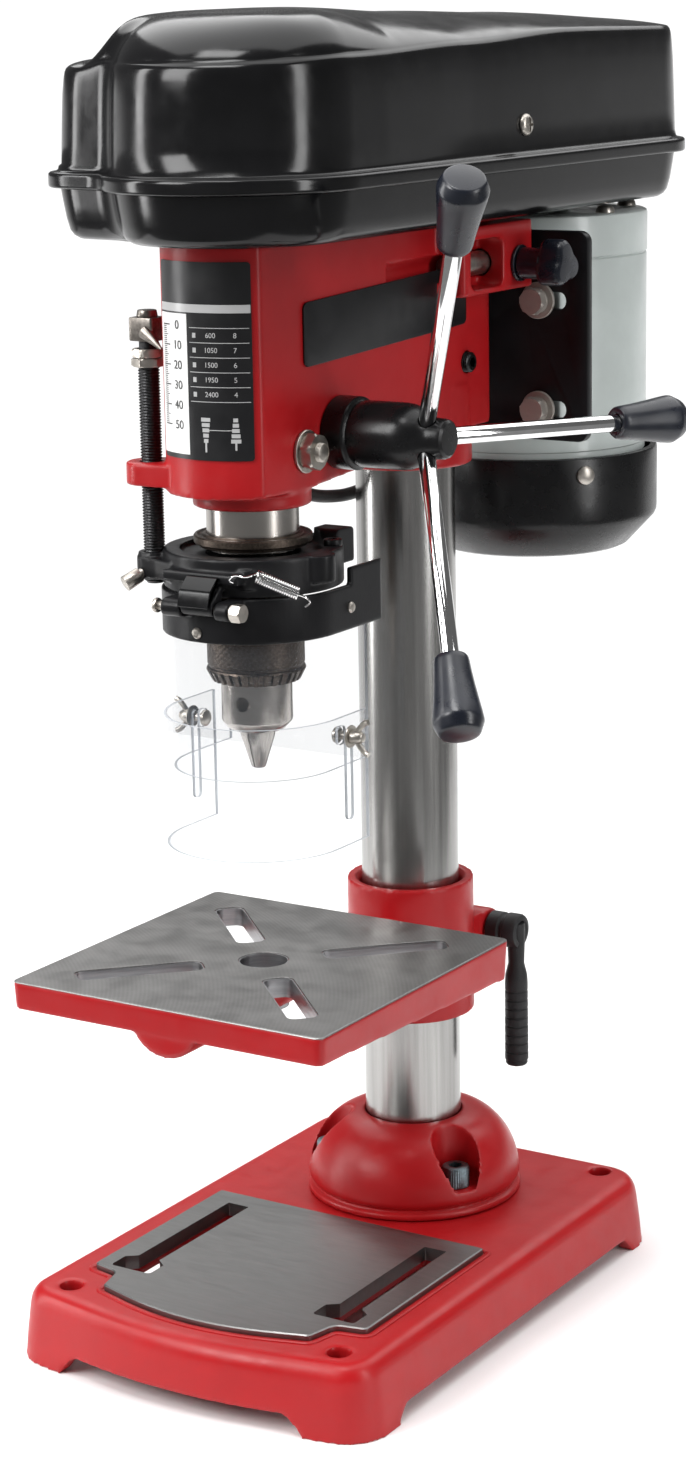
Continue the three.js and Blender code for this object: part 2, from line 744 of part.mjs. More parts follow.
function motorPlate() {
  const corners = [[67.5, 491, 4], [-67.5, 491, 4], [-67.5, 394, 4], [67.5, 394, 4]];
  const shape = new THREE.Shape(outline(corners, 3));
  const plate = new THREE.ExtrudeGeometry(shape, { depth: 5, bevelEnabled: false });
  plate.applyMatrix4(new THREE.Matrix4().makeRotationX(Math.PI / 2));
  plate.translate(0, PLATE_Y + 5, 0);
  let body = solid(plate);
  for (const z of MOTOR_BOLTS_Z) {
    for (const side of [-1, 1]) {
      const [near, far] = [side * (MOTOR_BOLT_X - 6), side * (MOTOR_BOLT_X + 14)];
      body = cut(body, block([Math.min(near, far), 40, z - 4], [Math.max(near, far), 70, z + 4]));
    }
  }
  return body;
}

function motorHousing() {
  const shell = turned([
    [0, 378],
    [MOTOR_R, 378],
    [MOTOR_R, 492],
    [MOTOR_R - 3, 495.5],
    [0, 495.5],
  ], [0, MOTOR_Y, 0], [0, 0, 1], 48);
  const foot = block([-50, PLATE_Y + 5 + GAP, 396], [50, 100, 488]);
  const stator = pillar(0, MOTOR_Y, 34, 392, 484, 32);
  const shaftHole = pillar(0, MOTOR_Y, 8, 370, 500, 24);
  let body = cut(join(shell, foot), stator, shaftHole);
  for (const z of MOTOR_BOLTS_Z) {
    body = cut(body, rod([MOTOR_BOLT_X, 50, z], [MOTOR_BOLT_X, 72, z], 3.3, 3.3, 16));
  }
  return body;
}

function motorEndCap() {
  const outer = [
    [0, 331], [47, 331], [61.5, 348.5], [61.5, 381],
    [58.5, 381], [58.5, 350], [45.5, 334], [0, 334],
  ];
  const cup = turned(outer, [0, MOTOR_Y, 0], [0, 0, 1], 48);
  return cut(cup, rod([-35, 60, LEAD_Z], [-35, 90, LEAD_Z], 3.5, 3.5, 16));
}

function motorRotor() {
  return join(
    pillar(0, MOTOR_Y, 7, 372, 556, 24),
    pillar(0, MOTOR_Y, 31, 415, 465, 32),
  );
}

function motorBolt(z) {
  const x = MOTOR_BOLT_X;
  return join(
    rod([x, PLATE_Y - 1.8 - GAP, z], [x, PLATE_Y - GAP, z], 8, 8, 24),
    rod([x, PLATE_Y - 6.8, z], [x, PLATE_Y - 2, z], 5.8, 5.8, 6),
    rod([x, PLATE_Y - 1, z], [x, 70, z], 3, 3, 16),
  );
}

function slideBar(side) {
  return rod([side * BAR_X, -14, BAR_Z], [side * BAR_X, PLATE_Y - GAP, BAR_Z], 5.5, 5.5, 20);
}

function tensionKnob() {
  const lobes = [];
  const count = 60;
  for (let k = 0; k < count; k += 1) {
    const angle = (2 * Math.PI * k) / count;
    const radius = 9.3 + 1.7 * Math.cos(3 * angle);
    lobes.push(new THREE.Vector2(radius * Math.cos(angle), radius * Math.sin(angle)));
  }
  const grip = new THREE.ExtrudeGeometry(new THREE.Shape(lobes), { depth: 15, bevelEnabled: false });
  grip.applyMatrix4(new THREE.Matrix4().makeRotationY(Math.PI / 2));
  grip.translate(55, 30, 478);
  return join(
    rod([37, 30, 478], [50, 30, 478], 4, 4, 20),
    rod([46, 30, 478], [56, 30, 478], 6.5, 6.5, 20),
    solid(grip),
  );
}

function motorLead() {
  const route = [
    [-42, -66, 419.5],
    [-42, -64, 406],
    [-40, -52, 388],
    [-34, -32, 375.5],
    [-30, -10, 371.5],
    [-30, 14, 371.5],
    [-32, 40, 371],
    [-35, 72, LEAD_Z],
  ];
  const path = new THREE.CatmullRomCurve3(route.map((p) => new THREE.Vector3(...p)));
  const section = new THREE.Shape();
  section.absarc(0, 0, 3, 0, 2 * Math.PI);
  const tube = new THREE.ExtrudeGeometry(section, { steps: 22, extrudePath: path, curveSegments: 5 });
  return solid(tube);
}

node("motor_plate", motorPlate(), BLACK_METAL);
node("motor_housing", motorHousing(), MOTOR_GREY);
node("motor_end_cap", motorEndCap(), BLACK_METAL);
node("motor_rotor", motorRotor(), STEEL);
MOTOR_BOLTS_Z.forEach((z, i) => node(`motor_bolt_${i + 1}`, motorBolt(z), STEEL));
node("motor_slide_bar_right", slideBar(1), STEEL);
node("motor_slide_bar_left", slideBar(-1), STEEL);
node("tension_knob", tensionKnob(), BLACK_PLASTIC);
node("motor_lead", motorLead(), RUBBER);

// ---------------------------------------------------------------- quill, depth stop and spindle
function quill() {
  const body = turned([
    [16.3, QUILL_BOTTOM],
    [QUILL_R, QUILL_BOTTOM],
    [QUILL_R, QUILL_TOP],
    [10, QUILL_TOP],
    [10, QUILL_BOTTOM + 10],
    [16.3, QUILL_BOTTOM + 10],
  ], [0, SPINDLE_Y, 0], [0, 0, 1], 48);
  const keyway = block([15.5, -129.6, 405], [21, -120.4, 457]);
  return cut(body, keyway);
}

function quillBearing() {
  const bottom = QUILL_BOTTOM + GAP;
  const ring = [[8.9, bottom], [16, bottom], [16, bottom + 9], [8.9, bottom + 9]];
  return turned(ring, [0, SPINDLE_Y, 0], [0, 0, 1]);
}

function quillCollar() {
  const bore = QUILL_R + GAP;
  return turned([
    [bore, 369.8],
    [23.6, 369.8],
    [25.6, 371.4],
    [25.6, 374.4],
    [24.4, 375.4],
    [bore, 375.4],
  ], [0, SPINDLE_Y, 0], [0, 0, 1], 32);
}

function guardBracket() {
  const plan = outline([
    [30, -118, 6],
    [8, -92, 8],
    [-24, -96, 8],
    [-34, -126, 8],
    [-43.5, -142, 6.5],
    [-43.5, -156, 6.5],
    [-30, -158, 0],
    [-20, -161, 4],
    [20, -163, 4],
    [28, -150, 6],
  ], 3);
  const plate = slab(plan, 357, 369.5);
  const disc = pillar(0, SPINDLE_Y, 39, 353.4, 369.5, 48);
  const underside = pillar(0, SPINDLE_Y, 35.5, 350, 357, 48);
  const earRight = pillar(37, -132.5, 7, 357.5, 369.2, 24);
  const clampBlock = block([12, -101, 358], [26, -86.5, 373.5]);
  const ledge = block([-19, -169, 359.5], [19.5, -155, 363.5]);
  const tongue = block([-5, HINGE_Y - 4, HINGE_Z - 4], [11, -156, 361]);
  const rodEar = pillar(DEPTH_X, DEPTH_Y, 7, 355.5, 366.5, 24);
  return cut(
    join(cut(disc, underside), plate, earRight, clampBlock, ledge, tongue, rodEar),
    pillar(0, SPINDLE_Y, QUILL_R + GAP, 340, 390, 48),
    pillar(DEPTH_X, DEPTH_Y, 4.6, 340, 390, 24),
    block([14, -94.5, 355], [24, -93, 380]),
    rod([-30, HINGE_Y, HINGE_Z], [30, HINGE_Y, HINGE_Z], 2.3, 2.3, 16),
  );
}

function depthRod() {
  return pillar(DEPTH_X, DEPTH_Y, 4.3, 353.5, 469, 24);
}

function depthPointer() {
  const shape = new THREE.Shape(outline([
    [DEPTH_X + 6.5, DEPTH_Y + 6, 2],
    [DEPTH_X - 6.5, DEPTH_Y + 6, 2],
    [DEPTH_X - 6.5, DEPTH_Y - 6, 2],
    [DEPTH_X + 6.5, DEPTH_Y - 6, 2],
  ], 2));
  const blockTop = new THREE.ExtrudeGeometry(shape, { depth: 10.5, bevelEnabled: false });
  blockTop.translate(0, 0, 457.5);
  const tip = rod([DEPTH_X, DEPTH_Y - 3, 459], [DEPTH_X + 11, DEPTH_Y - 6, 455.5], 3.5, 0.8, 12);
  return cut(join(solid(blockTop), tip), pillar(DEPTH_X, DEPTH_Y, 4.6, 440, 480, 24));
}

function stopNut(low, high) {
  return cut(pillar(DEPTH_X, DEPTH_Y, 7.5, low, high, 6), pillar(DEPTH_X, DEPTH_Y, 4.6, 400, 500, 24));
}

function hingePin() {
  const pin = rod([-18, HINGE_Y, HINGE_Z], [21, HINGE_Y, HINGE_Z], 2, 2, 16);
  const head = rod([19.3, HINGE_Y, HINGE_Z], [24.5, HINGE_Y, HINGE_Z], 4, 4, 6);
  return join(pin, head);
}

const JAW_LEAN = 0.33; // sideways per unit of height
const JAW_TIP_Z = 271;
const JAW_TIP_R = 3;
const JAW_R = 2.3;

function jawPoint(index, z) {
  const angle = THREE.MathUtils.degToRad(90 + 120 * index);
  const radius = JAW_TIP_R + JAW_LEAN * (z - JAW_TIP_Z);
  return [radius * Math.cos(angle), SPINDLE_Y + radius * Math.sin(angle), z];
}

function chuckBody() {
  const body = turned([
    [0, 288],
    [11.5, 288],
    [15.5, 291],
    [15.5, 311.9],
    [19, 312],
    [19, 350],
    [0, 350],
  ], [0, SPINDLE_Y, 0], [0, 0, 1], 32);
  const socket = pillar(0, SPINDLE_Y, 8.8, 321, 360, 28);
  const ways = [0, 1, 2].map((i) => rod(jawPoint(i, 260), jawPoint(i, 318), JAW_R + GAP, JAW_R + GAP, 16));
  return cut(body, socket, ...ways);
}

function chuckJaw(index) {
  const bar = rod(jawPoint(index, JAW_TIP_Z - 2), jawPoint(index, 295), JAW_R, JAW_R, 14);
  const below = block([-20, SPINDLE_Y - 20, 255], [20, SPINDLE_Y + 20, JAW_TIP_Z]);
  return cut(bar, below);
}

function chuckSleeve() {
  const bore = 19.4;
  return turned([
    [16, 310.3],
    [21, 310.3],
    [21.6, 311],
    [21.6, 315],
    [21, 315.5],
    [21, 352],
    [20, 353.5],
    [bore, 353.5],
    [bore, 311.4],
    [16, 311.4],
  ], [0, SPINDLE_Y, 0], [0, 0, 1], 32);
}

function spindle() {
  return pillar(0, SPINDLE_Y, 8.5, 322, 555, 28);
}

node("quill", quill(), STEEL);
node("quill_bearing", quillBearing(), STEEL);
node("quill_collar", quillCollar(), STEEL);
node("guard_bracket", guardBracket(), BLACK_METAL);
node("depth_rod", depthRod(), DARK_STEEL);
node("depth_pointer", depthPointer(), DARK_STEEL);
node("depth_stop_nut_upper", stopNut(450.6, 454.4), CHROME);
node("depth_stop_nut_lower", stopNut(446.6, 450.3), CHROME);
node("guard_hinge_pin", hingePin(), CHROME);
node("spindle", spindle(), STEEL);
node("chuck_body", chuckBody(), STEEL);
node("chuck_sleeve", chuckSleeve(), DARK_STEEL);
[0, 1, 2].forEach((i) => node(`chuck_jaw_${i + 1}`, chuckJaw(i), STEEL));

// ---------------------------------------------------------------- guard
// A U-shaped wall open to the rear: round at the front, straight legs behind.
function guardWall(outer, inner, rear, low, high) {
  const points = [];
  const arc = (radius, from, to) => {
    for (let k = 0; k <= 16; k += 1) {
      const angle = from + ((to - from) * k) / 16;
      points.push(new THREE.Vector2(radius * Math.cos(angle), SPINDLE_Y + radius * Math.sin(angle)));
    }
  };
  points.push(new THREE.Vector2(-outer, rear));
  arc(outer, -Math.PI, 0);
  points.push(new THREE.Vector2(outer, rear), new THREE.Vector2(inner, rear));
  arc(inner, 0, -Math.PI);
  points.push(new THREE.Vector2(-inner, rear));
  return slab(points, low, high);
}

function guardBand() {
  const band = guardWall(40, 37.3, -87, 333, 353);
  const tails = cut(guardWall(40, 37.3, -87, 340, 360), block([-60, -200, 300], [60, -110, 400]));
  const knuckles = join(
    block([-15.5, HINGE_Y - 4, HINGE_Z - 4], [-5.5, -163, HINGE_Z + 4]),
    block([11.5, HINGE_Y - 4, HINGE_Z - 4], [18.5, -163, HINGE_Z + 4]),
  );
  const inner = pillar(0, SPINDLE_Y, 37.3, 300, 400, 64);
  const notch = block([-5.4, -180, 342], [11.4, -158, 360]);
  const bore = rod([-30, HINGE_Y, HINGE_Z], [30, HINGE_Y, HINGE_Z], 2.3, 2.3, 16);
  return cut(join(band, tails, cut(knuckles, inner)), notch, bore);
}

function sideSlots(low, high, width) {
  return block([-60, -117 - width / 2, low], [60, -117 + width / 2, high]);
}

function guardShield() {
  return cut(guardWall(37, 35.3, -95, 273, 344.5), sideSlots(285, 289, 4));
}

function lowerShield() {
  return cut(guardWall(41, 39.2, -102, 238.5, 296.7), sideSlots(250, 289.5, 4.4));
}

function guardSpring() {
  return rod([24, -164.5, 364.5], [41.5, -154, 355.5], 3, 3, 16);
}

node("guard_band", guardBand(), BLACK_METAL);
node("guard_shield", guardShield(), CLEAR);
node("lower_shield", lowerShield(), CLEAR);
node("guard_spring", guardSpring(), CHROME);

// ---------------------------------------------------------------- feed handle
const HUB_START = HEAD_HALF + GAP + 0.2;
const ROD_LEAN = 0.433; // outwards along X per unit of radius
const ROD_ORIGIN_X = 69.5;
const ROD_ANGLES = [-2, 118, 238]; // about +X, from +Y towards +Z

function rodPoint(index, radius) {
  const angle = THREE.MathUtils.degToRad(ROD_ANGLES[index]);
  return [
    ROD_ORIGIN_X + ROD_LEAN * radius,
    FEED_Y + radius * Math.cos(angle),
    FEED_Z + radius * Math.sin(angle),
  ];
}

function pinionShaft() {
  const at = (x) => [x, FEED_Y, FEED_Z];
  return join(
    rod(at(-38), at(-24), 5, 5, 24),
    rod(at(-24.5), at(25), 7, 7, 24),
    rod(at(24), at(59.5), 5.5, 5.5, 24),
  );
}

function feedHub() {
  const body = turned([
    [5.8, HUB_START],
    [15, HUB_START],
    [15, 30],
    [14, 30.5],
    [14.3, 31.5],
    [14.3, 63],
    [13, 67],
    [9.5, 71],
    [8.4, 80.5],
    [7.2, 82],
    [0, 82],
    [0, 60],
    [5.8, 60],
  ], [0, FEED_Y, FEED_Z], [1, 0, 0], 28);
  const sockets = [0, 1, 2].map((i) => rod(rodPoint(i, 6.2), rodPoint(i, 30), 3.8, 3.8, 16));
  return cut(body, ...sockets);
}

function feedRod(index) {
  return rod(rodPoint(index, 6.8), rodPoint(index, 112), 3.4, 3.4, 16);
}

function feedKnob(index) {
  const from = rodPoint(index, 96);
  const length = 36;
  const axis = new THREE.Vector3(...rodPoint(index, 130)).sub(new THREE.Vector3(...from)).normalize();
  const profile = [
    [3.8, 0], [7.2, 0], [7.8, 1], [10.6, 27], [10.2, 31], [8, 35], [0, length], [0, 20], [3.8, 20],
  ];
  return turned(profile, from, axis.toArray(), 24);
}

node("pinion_shaft", pinionShaft(), STEEL);
node("feed_hub", feedHub(), BLACK_METAL);
[0, 1, 2].forEach((i) => {
  node(`feed_rod_${i + 1}`, feedRod(i), CHROME);
  node(`feed_knob_${i + 1}`, feedKnob(i), BLACK_PLASTIC);
});

// The part's frame: origin under the middle of the whole machine.
const bounds = new THREE.Box3().setFromObject(machine);
machine.position.set(
  -(bounds.min.x + bounds.max.x) / 2,
  -(bounds.min.y + bounds.max.y) / 2,
  -bounds.min.z,
);

export default machine;
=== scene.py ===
import bpy
import bmesh
import math
from mathutils import Matrix, Vector


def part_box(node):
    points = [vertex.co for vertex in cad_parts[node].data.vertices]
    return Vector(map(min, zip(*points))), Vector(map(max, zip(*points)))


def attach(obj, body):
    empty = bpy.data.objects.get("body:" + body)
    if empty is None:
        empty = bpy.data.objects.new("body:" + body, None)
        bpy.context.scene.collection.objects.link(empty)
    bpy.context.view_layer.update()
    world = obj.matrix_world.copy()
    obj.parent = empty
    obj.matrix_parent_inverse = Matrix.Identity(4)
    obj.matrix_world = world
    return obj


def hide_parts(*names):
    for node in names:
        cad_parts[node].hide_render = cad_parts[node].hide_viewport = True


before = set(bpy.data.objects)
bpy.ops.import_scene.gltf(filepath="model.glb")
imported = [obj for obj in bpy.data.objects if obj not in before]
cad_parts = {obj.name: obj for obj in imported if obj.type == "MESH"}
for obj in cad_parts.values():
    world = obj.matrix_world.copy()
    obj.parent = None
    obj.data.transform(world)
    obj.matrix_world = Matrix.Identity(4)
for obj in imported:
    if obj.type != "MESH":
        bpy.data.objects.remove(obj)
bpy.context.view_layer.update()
scene = bpy.context.scene

# All shapes are drawn in millimetres about the column's axis, then put into the row frame.
low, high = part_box("column")
OFFSET = Vector(((low.x + high.x) / 2, (low.y + high.y) / 2, 0))
TO_ROW = Matrix.Translation(OFFSET) @ Matrix.Scale(0.001, 4)

SPINDLE_Y = -127
MOTOR_Y = 122
FEED_Y, FEED_Z = -99, 416
DEPTH_X, DEPTH_Y = -36.4, -149
HINGE_Y, HINGE_Z = -172, 349
CLAMP_Y, CLAMP_Z = 35, 158
GUIDE_Y, GUIDE_Z = -125, 411
KNOB_Y, KNOB_Z = 30, 478
SET_Y, SET_Z = 6.5, 434.7
SHIELD_Y, SHIELD_Z = -117, 287
SLIDE_X, SLIDE_Z = 31, 479
TILT_Z = 155
SLOT_LENGTH, SLOT_WIDTH, SLOT_OFFSET = 56.5, 13.5, 39.3
SLOT_PLACES = [(x, SPINDLE_Y + y) for x in (-SLOT_OFFSET, SLOT_OFFSET) for y in (-SLOT_OFFSET, SLOT_OFFSET)]
FOOT_BOLT_CIRCLE = 40.5
FOOT_BOLT_ANGLES = (90, 210, 330)


# ---------------------------------------------------------------- camera
def camera():
    data = bpy.data.cameras.new("camera")
    data.sensor_width = 36
    data.lens = 76.68
    data.clip_end = 50
    cam = bpy.data.objects.new("camera", data)
    scene.collection.objects.link(cam)
    azimuth, pitch, roll = (math.radians(v) for v in (32.33, 13.41, -1.054))
    ahead = Vector((-math.sin(azimuth) * math.cos(pitch), math.cos(azimuth) * math.cos(pitch),
            -math.sin(pitch)))
    right = Vector((math.cos(azimuth), math.sin(azimuth), 0))
    up = right.cross(ahead)
    side = math.cos(roll) * right + math.sin(roll) * up
    top = -math.sin(roll) * right + math.cos(roll) * up
    turn = Matrix((side, top, -ahead)).transposed().to_4x4()
    cam.matrix_world = Matrix.Translation(TO_ROW @ Vector((738.53, -1224.61, 601.05))) @ turn
    scene.camera = cam


camera()


# ---------------------------------------------------------------- mesh helpers
def new(name, verts, faces):
    mesh = bpy.data.meshes.new(name)
    mesh.from_pydata([tuple(v) for v in verts], [], faces)
    obj = bpy.data.objects.new(name, mesh)
    scene.collection.objects.link(obj)
    tidy(obj)
    return obj


def tidy(obj):
    bm = bmesh.new()
    bm.from_mesh(obj.data)
    bmesh.ops.remove_doubles(bm, verts=bm.verts, dist=1e-4)
    bmesh.ops.dissolve_degenerate(bm, edges=bm.edges, dist=1e-4)
    bmesh.ops.recalc_face_normals(bm, faces=bm.faces)
    bm.to_mesh(obj.data)
    bm.free()


def apply(obj):
    """Applies every modifier of the object."""
    graph = bpy.context.evaluated_depsgraph_get()
    mesh = bpy.data.meshes.new_from_object(obj.evaluated_get(graph))
    obj.modifiers.clear()
    old = obj.data
    obj.data = mesh
    bpy.data.meshes.remove(old)
    return obj


def drop(obj):
    mesh = obj.data
    bpy.data.objects.remove(obj)
    bpy.data.meshes.remove(mesh)


def merge(first, *others):
    """Puts the meshes of several objects into the first one."""
    bm = bmesh.new()
    bm.from_mesh(first.data)
    for other in others:
        bm.from_mesh(other.data)
        drop(other)
    bm.to_mesh(first.data)
    bm.free()
    return first


def combine(obj, other, operation):
    m = obj.modifiers.new("b", "BOOLEAN")
    m.operation = operation
    m.solver = "EXACT"
    m.object = other
    apply(obj)
    drop(other)
    return obj


def cut(obj, *cutters):
    for c in cutters:
        combine(obj, c, "DIFFERENCE")
    return obj


def bevel(obj, width, segments=2, angle=32):
    m = obj.modifiers.new("v", "BEVEL")
    m.width = width
    m.segments = segments
    m.limit_method = "ANGLE"
    m.angle_limit = math.radians(angle)
    m.harden_normals = False
    return apply(obj)


def remesh(obj, voxel, smooth=4, factor=0.5):
    m = obj.modifiers.new("r", "REMESH")
    m.mode = "VOXEL"
    m.voxel_size = voxel
    s = obj.modifiers.new("s", "SMOOTH")
    s.factor = factor
    s.iterations = smooth
    return apply(obj)


def cast(obj, cutters, voxel=1.0, smooth=4):
    """An iron casting: its edges are rounded and its inner corners filled, as sand moulds leave them."""
    remesh(obj, voxel, 0)
    cut(obj, *cutters)
    return remesh(obj, voxel, smooth)


def smooth_faces(obj, angle=35):
    obj.data.shade_smooth()
    obj.data.set_sharp_from_angle(angle=math.radians(angle))


def frame_of(direction):
    z = Vector(direction).normalized()
    x = Vector((0, 0, 1)).cross(z)
    if x.length < 1e-6:
        x = Vector((1, 0, 0))
    x.normalize()
    return Matrix((x, z.cross(x), z)).transposed()


def lathe(name, profile, origin=(0, SPINDLE_Y, 0), axis=(0, 0, 1), seg=96, ring=None):
    """Turns a profile of (radius, along) pairs. ring(radius, angle, along) may shape the radius."""
    basis = frame_of(axis)
    origin = Vector(origin)
    closed = profile[0][0] > 0
    verts, faces = [], []
    for r, a in profile:
        for k in range(seg):
            t = 2 * math.pi * k / seg
            rr = ring(r, t, a) if ring else r
            verts.append(origin + basis @ Vector((rr * math.cos(t), rr * math.sin(t), a)))
    n = len(profile)
    for i in range(n if closed else n - 1):
        j = (i + 1) % n
        for k in range(seg):
            m = (k + 1) % seg
            faces.append((i * seg + k, i * seg + m, j * seg + m, j * seg + k))
    return new(name, verts, faces)


def arc(cx, cy, r, start, end, steps):
    out = []
    for k in range(steps + 1):
        t = math.radians(start + (end - start) * k / steps)
        out.append((cx + r * math.cos(t), cy + r * math.sin(t)))
    return out


def rounded(corners, steps=8):
    """An outline whose corners [x, y, radius] are rounded."""
    out = []
    n = len(corners)
    for i, (x, y, r) in enumerate(corners):
        here = Vector((x, y))
        if not r:
            out.append((x, y))
            continue
        a = (Vector(corners[i - 1][:2]) - here).normalized()
        b = (Vector(corners[(i + 1) % n][:2]) - here).normalized()
        half = math.acos(max(-1, min(1, a.dot(b)))) / 2
        centre = here + (a + b).normalized() * (r / math.sin(half))
        start = here + a * (r / math.tan(half)) - centre
        end = here + b * (r / math.tan(half)) - centre
        turn = math.atan2(start.x * end.y - start.y * end.x, start.dot(end))
        for k in range(steps + 1):
            t = turn * k / steps
            out.append((centre.x + start.x * math.cos(t) - start.y * math.sin(t),
                    centre.y + start.x * math.sin(t) + start.y * math.cos(t)))
    return out


def rect(x0, y0, x1, y1, r, steps=4):
    """A rectangle with its corners rounded."""
    return rounded([(x0, y0, r), (x1, y0, r), (x1, y1, r), (x0, y1, r)], steps)


def mirrored(points, side):
    """The points as they are for side 1, and on the other side of x = 0 for side -1."""
    return [(side * x, y, r) for x, y, r in points]


def inset(points, d):
    area = sum(points[i - 1][0] * p[1] - p[0] * points[i - 1][1] for i, p in enumerate(points))
    sign = 1 if area > 0 else -1
    out = []
    n = len(points)
    for i, p in enumerate(points):
        here = Vector(p)
        a = (here - Vector(points[i - 1])).normalized()
        b = (Vector(points[(i + 1) % n]) - here).normalized()
        normal = Vector((-a.y - b.y, a.x + b.x)).normalized()
        stretch = max(0.5, -a.y * normal.x + a.x * normal.y)
        out.append(tuple(here + normal * sign * d / stretch))
    return out


def dense(points, step):
    """The same closed outline with points no further apart than the step."""
    out = []
    for i, p in enumerate(points):
        q = points[(i + 1) % len(points)]
        n = max(1, int(math.dist(p, q) / step))
        out += [(p[0] + (q[0] - p[0]) * k / n, p[1] + (q[1] - p[1]) * k / n) for k in range(n)]
    return out


def loft(name, rings, cap=True):
    """A skin through closed rings of 3D points, each with the same count."""
    n = len(rings[0])
    verts = [v for r in rings for v in r]
    faces = []
    for i in range(len(rings) - 1):
        for k in range(n):
            m = (k + 1) % n
            faces.append((i * n + k, i * n + m, (i + 1) * n + m, (i + 1) * n + k))
    if cap:
        faces.append(tuple(range(n)))
        faces.append(tuple((len(rings) - 1) * n + k for k in range(n)))
    return new(name, verts, faces)


def torus(name, rings):
    """A closed skin through rings of which the last one joins the first one again."""
    n = len(rings[0])
    faces = []
    for i in range(len(rings)):
        j = (i + 1) % len(rings)
        for k in range(n):
            m = (k + 1) % n
            faces.append((i * n + k, i * n + m, j * n + m, j * n + k))
    return new(name, [v for r in rings for v in r], faces)


def level(points, z):
    return [(x, y, z) for x, y in points]


def prism(name, points, lo, hi, plane="xy"):
    """An outline pulled along the third axis. The plane yz runs along x, and xz along y."""
    order = {"xy": (0, 1, 2), "yz": (2, 0, 1), "xz": (0, 2, 1)}[plane]
    return loft(name, [[tuple((a, b, c)[i] for i in order) for a, b in points] for c in (lo, hi)])


def box(name, a, b):
    return prism(name, [(a[0], a[1]), (b[0], a[1]), (b[0], b[1]), (a[0], b[1])], a[2], b[2])


def rod(name, a, b, r0, r1=None, seg=48, edge=0.0):
    """A round bar between two points, with its end edges rounded."""
    r1 = r0 if r1 is None else r1
    a, b = Vector(a), Vector(b)
    length = (b - a).length
    if edge:
        d = edge * 0.3
        profile = [(0, 0), (r0 - edge, 0), (r0 - d, d), (r0, edge), (r1, length - edge),
                (r1 - d, length - d), (r1 - edge, length), (0, length)]
    else:
        profile = [(0, 0), (r0, 0), (r1, length), (0, length)]
    return lathe(name, profile, a, b - a, seg)


def upright(x, y, lo, hi, r, seg=48):
    """A round bar along z."""
    return rod("upright", (x, y, lo), (x, y, hi), r, seg=seg)


def across(lo, hi, y, z, r, seg=48):
    """A round bar along x."""
    return rod("across", (lo, y, z), (hi, y, z), r, seg=seg)


def washer(inner, outer, thick, at, axis=(1, 0, 0)):
    """A flat ring with a small round at its outer edges."""
    edge = 0.3
    profile = [(inner, 0), (outer - edge, 0), (outer, edge), (outer, thick - edge), (outer - edge, thick),
            (inner, thick)]
    return lathe("washer", profile, at, axis)


def hexagon(name, a, b, r, edge=0.6, turn=0.0):
    """A hexagon head or nut along a line, with its corners chamfered."""
    a, b = Vector(a), Vector(b)
    length = (b - a).length

    def six(radius, angle, along):
        t = (angle + turn) % (math.pi / 3) - math.pi / 6
        flat = r * math.cos(math.pi / 6) / math.cos(t)
        return min(radius, flat)
    profile = [(0, 0), (r * 0.88, 0), (r * 1.01, edge), (r * 1.01, length - edge), (r * 0.88, length),
            (0, length)]
    return lathe(name, profile, a, b - a, 72, six)


def tube(name, path, radius, seg=12):
    """A round section swept along points, closed at both ends."""
    path = [Vector(p) for p in path]
    rings = []
    side = None
    for i, p in enumerate(path):
        ahead = (path[min(i + 1, len(path) - 1)] - path[max(i - 1, 0)]).normalized()
        if side is None:
            side = ahead.orthogonal().normalized()
        side = (side - ahead * side.dot(ahead)).normalized()
        other = ahead.cross(side)
        rings.append([p + (side * math.cos(2 * math.pi * k / seg)
                + other * math.sin(2 * math.pi * k / seg)) * radius for k in range(seg)])
    return loft(name, rings)


def curve(points, steps=8):
    """A smooth path through points."""
    pts = [Vector(p) for p in points]
    pts = [2 * pts[0] - pts[1]] + pts + [2 * pts[-1] - pts[-2]]
    out = []
    for i in range(1, len(pts) - 2):
        a, b, c, d = pts[i - 1:i + 3]
        for k in range(steps):
            t = k / steps
            out.append(0.5 * (2 * b + (c - a) * t + (2 * a - 5 * b + 4 * c - d) * t * t
                    + (3 * b - a - 3 * c + d) * t ** 3))
    return out + [pts[-2]]


def coil(name, a, b, radius, wire, turns):
    """A helical spring between two points."""
    a, b = Vector(a), Vector(b)
    basis = frame_of(b - a)
    length = (b - a).length
    path = []
    steps = int(turns * 18)
    for k in range(steps + 1):
        t = 2 * math.pi * turns * k / steps
        path.append(a + basis @ Vector((radius * math.cos(t), radius * math.sin(t), length * k / steps)))
    return tube(name, path, wire, 8)


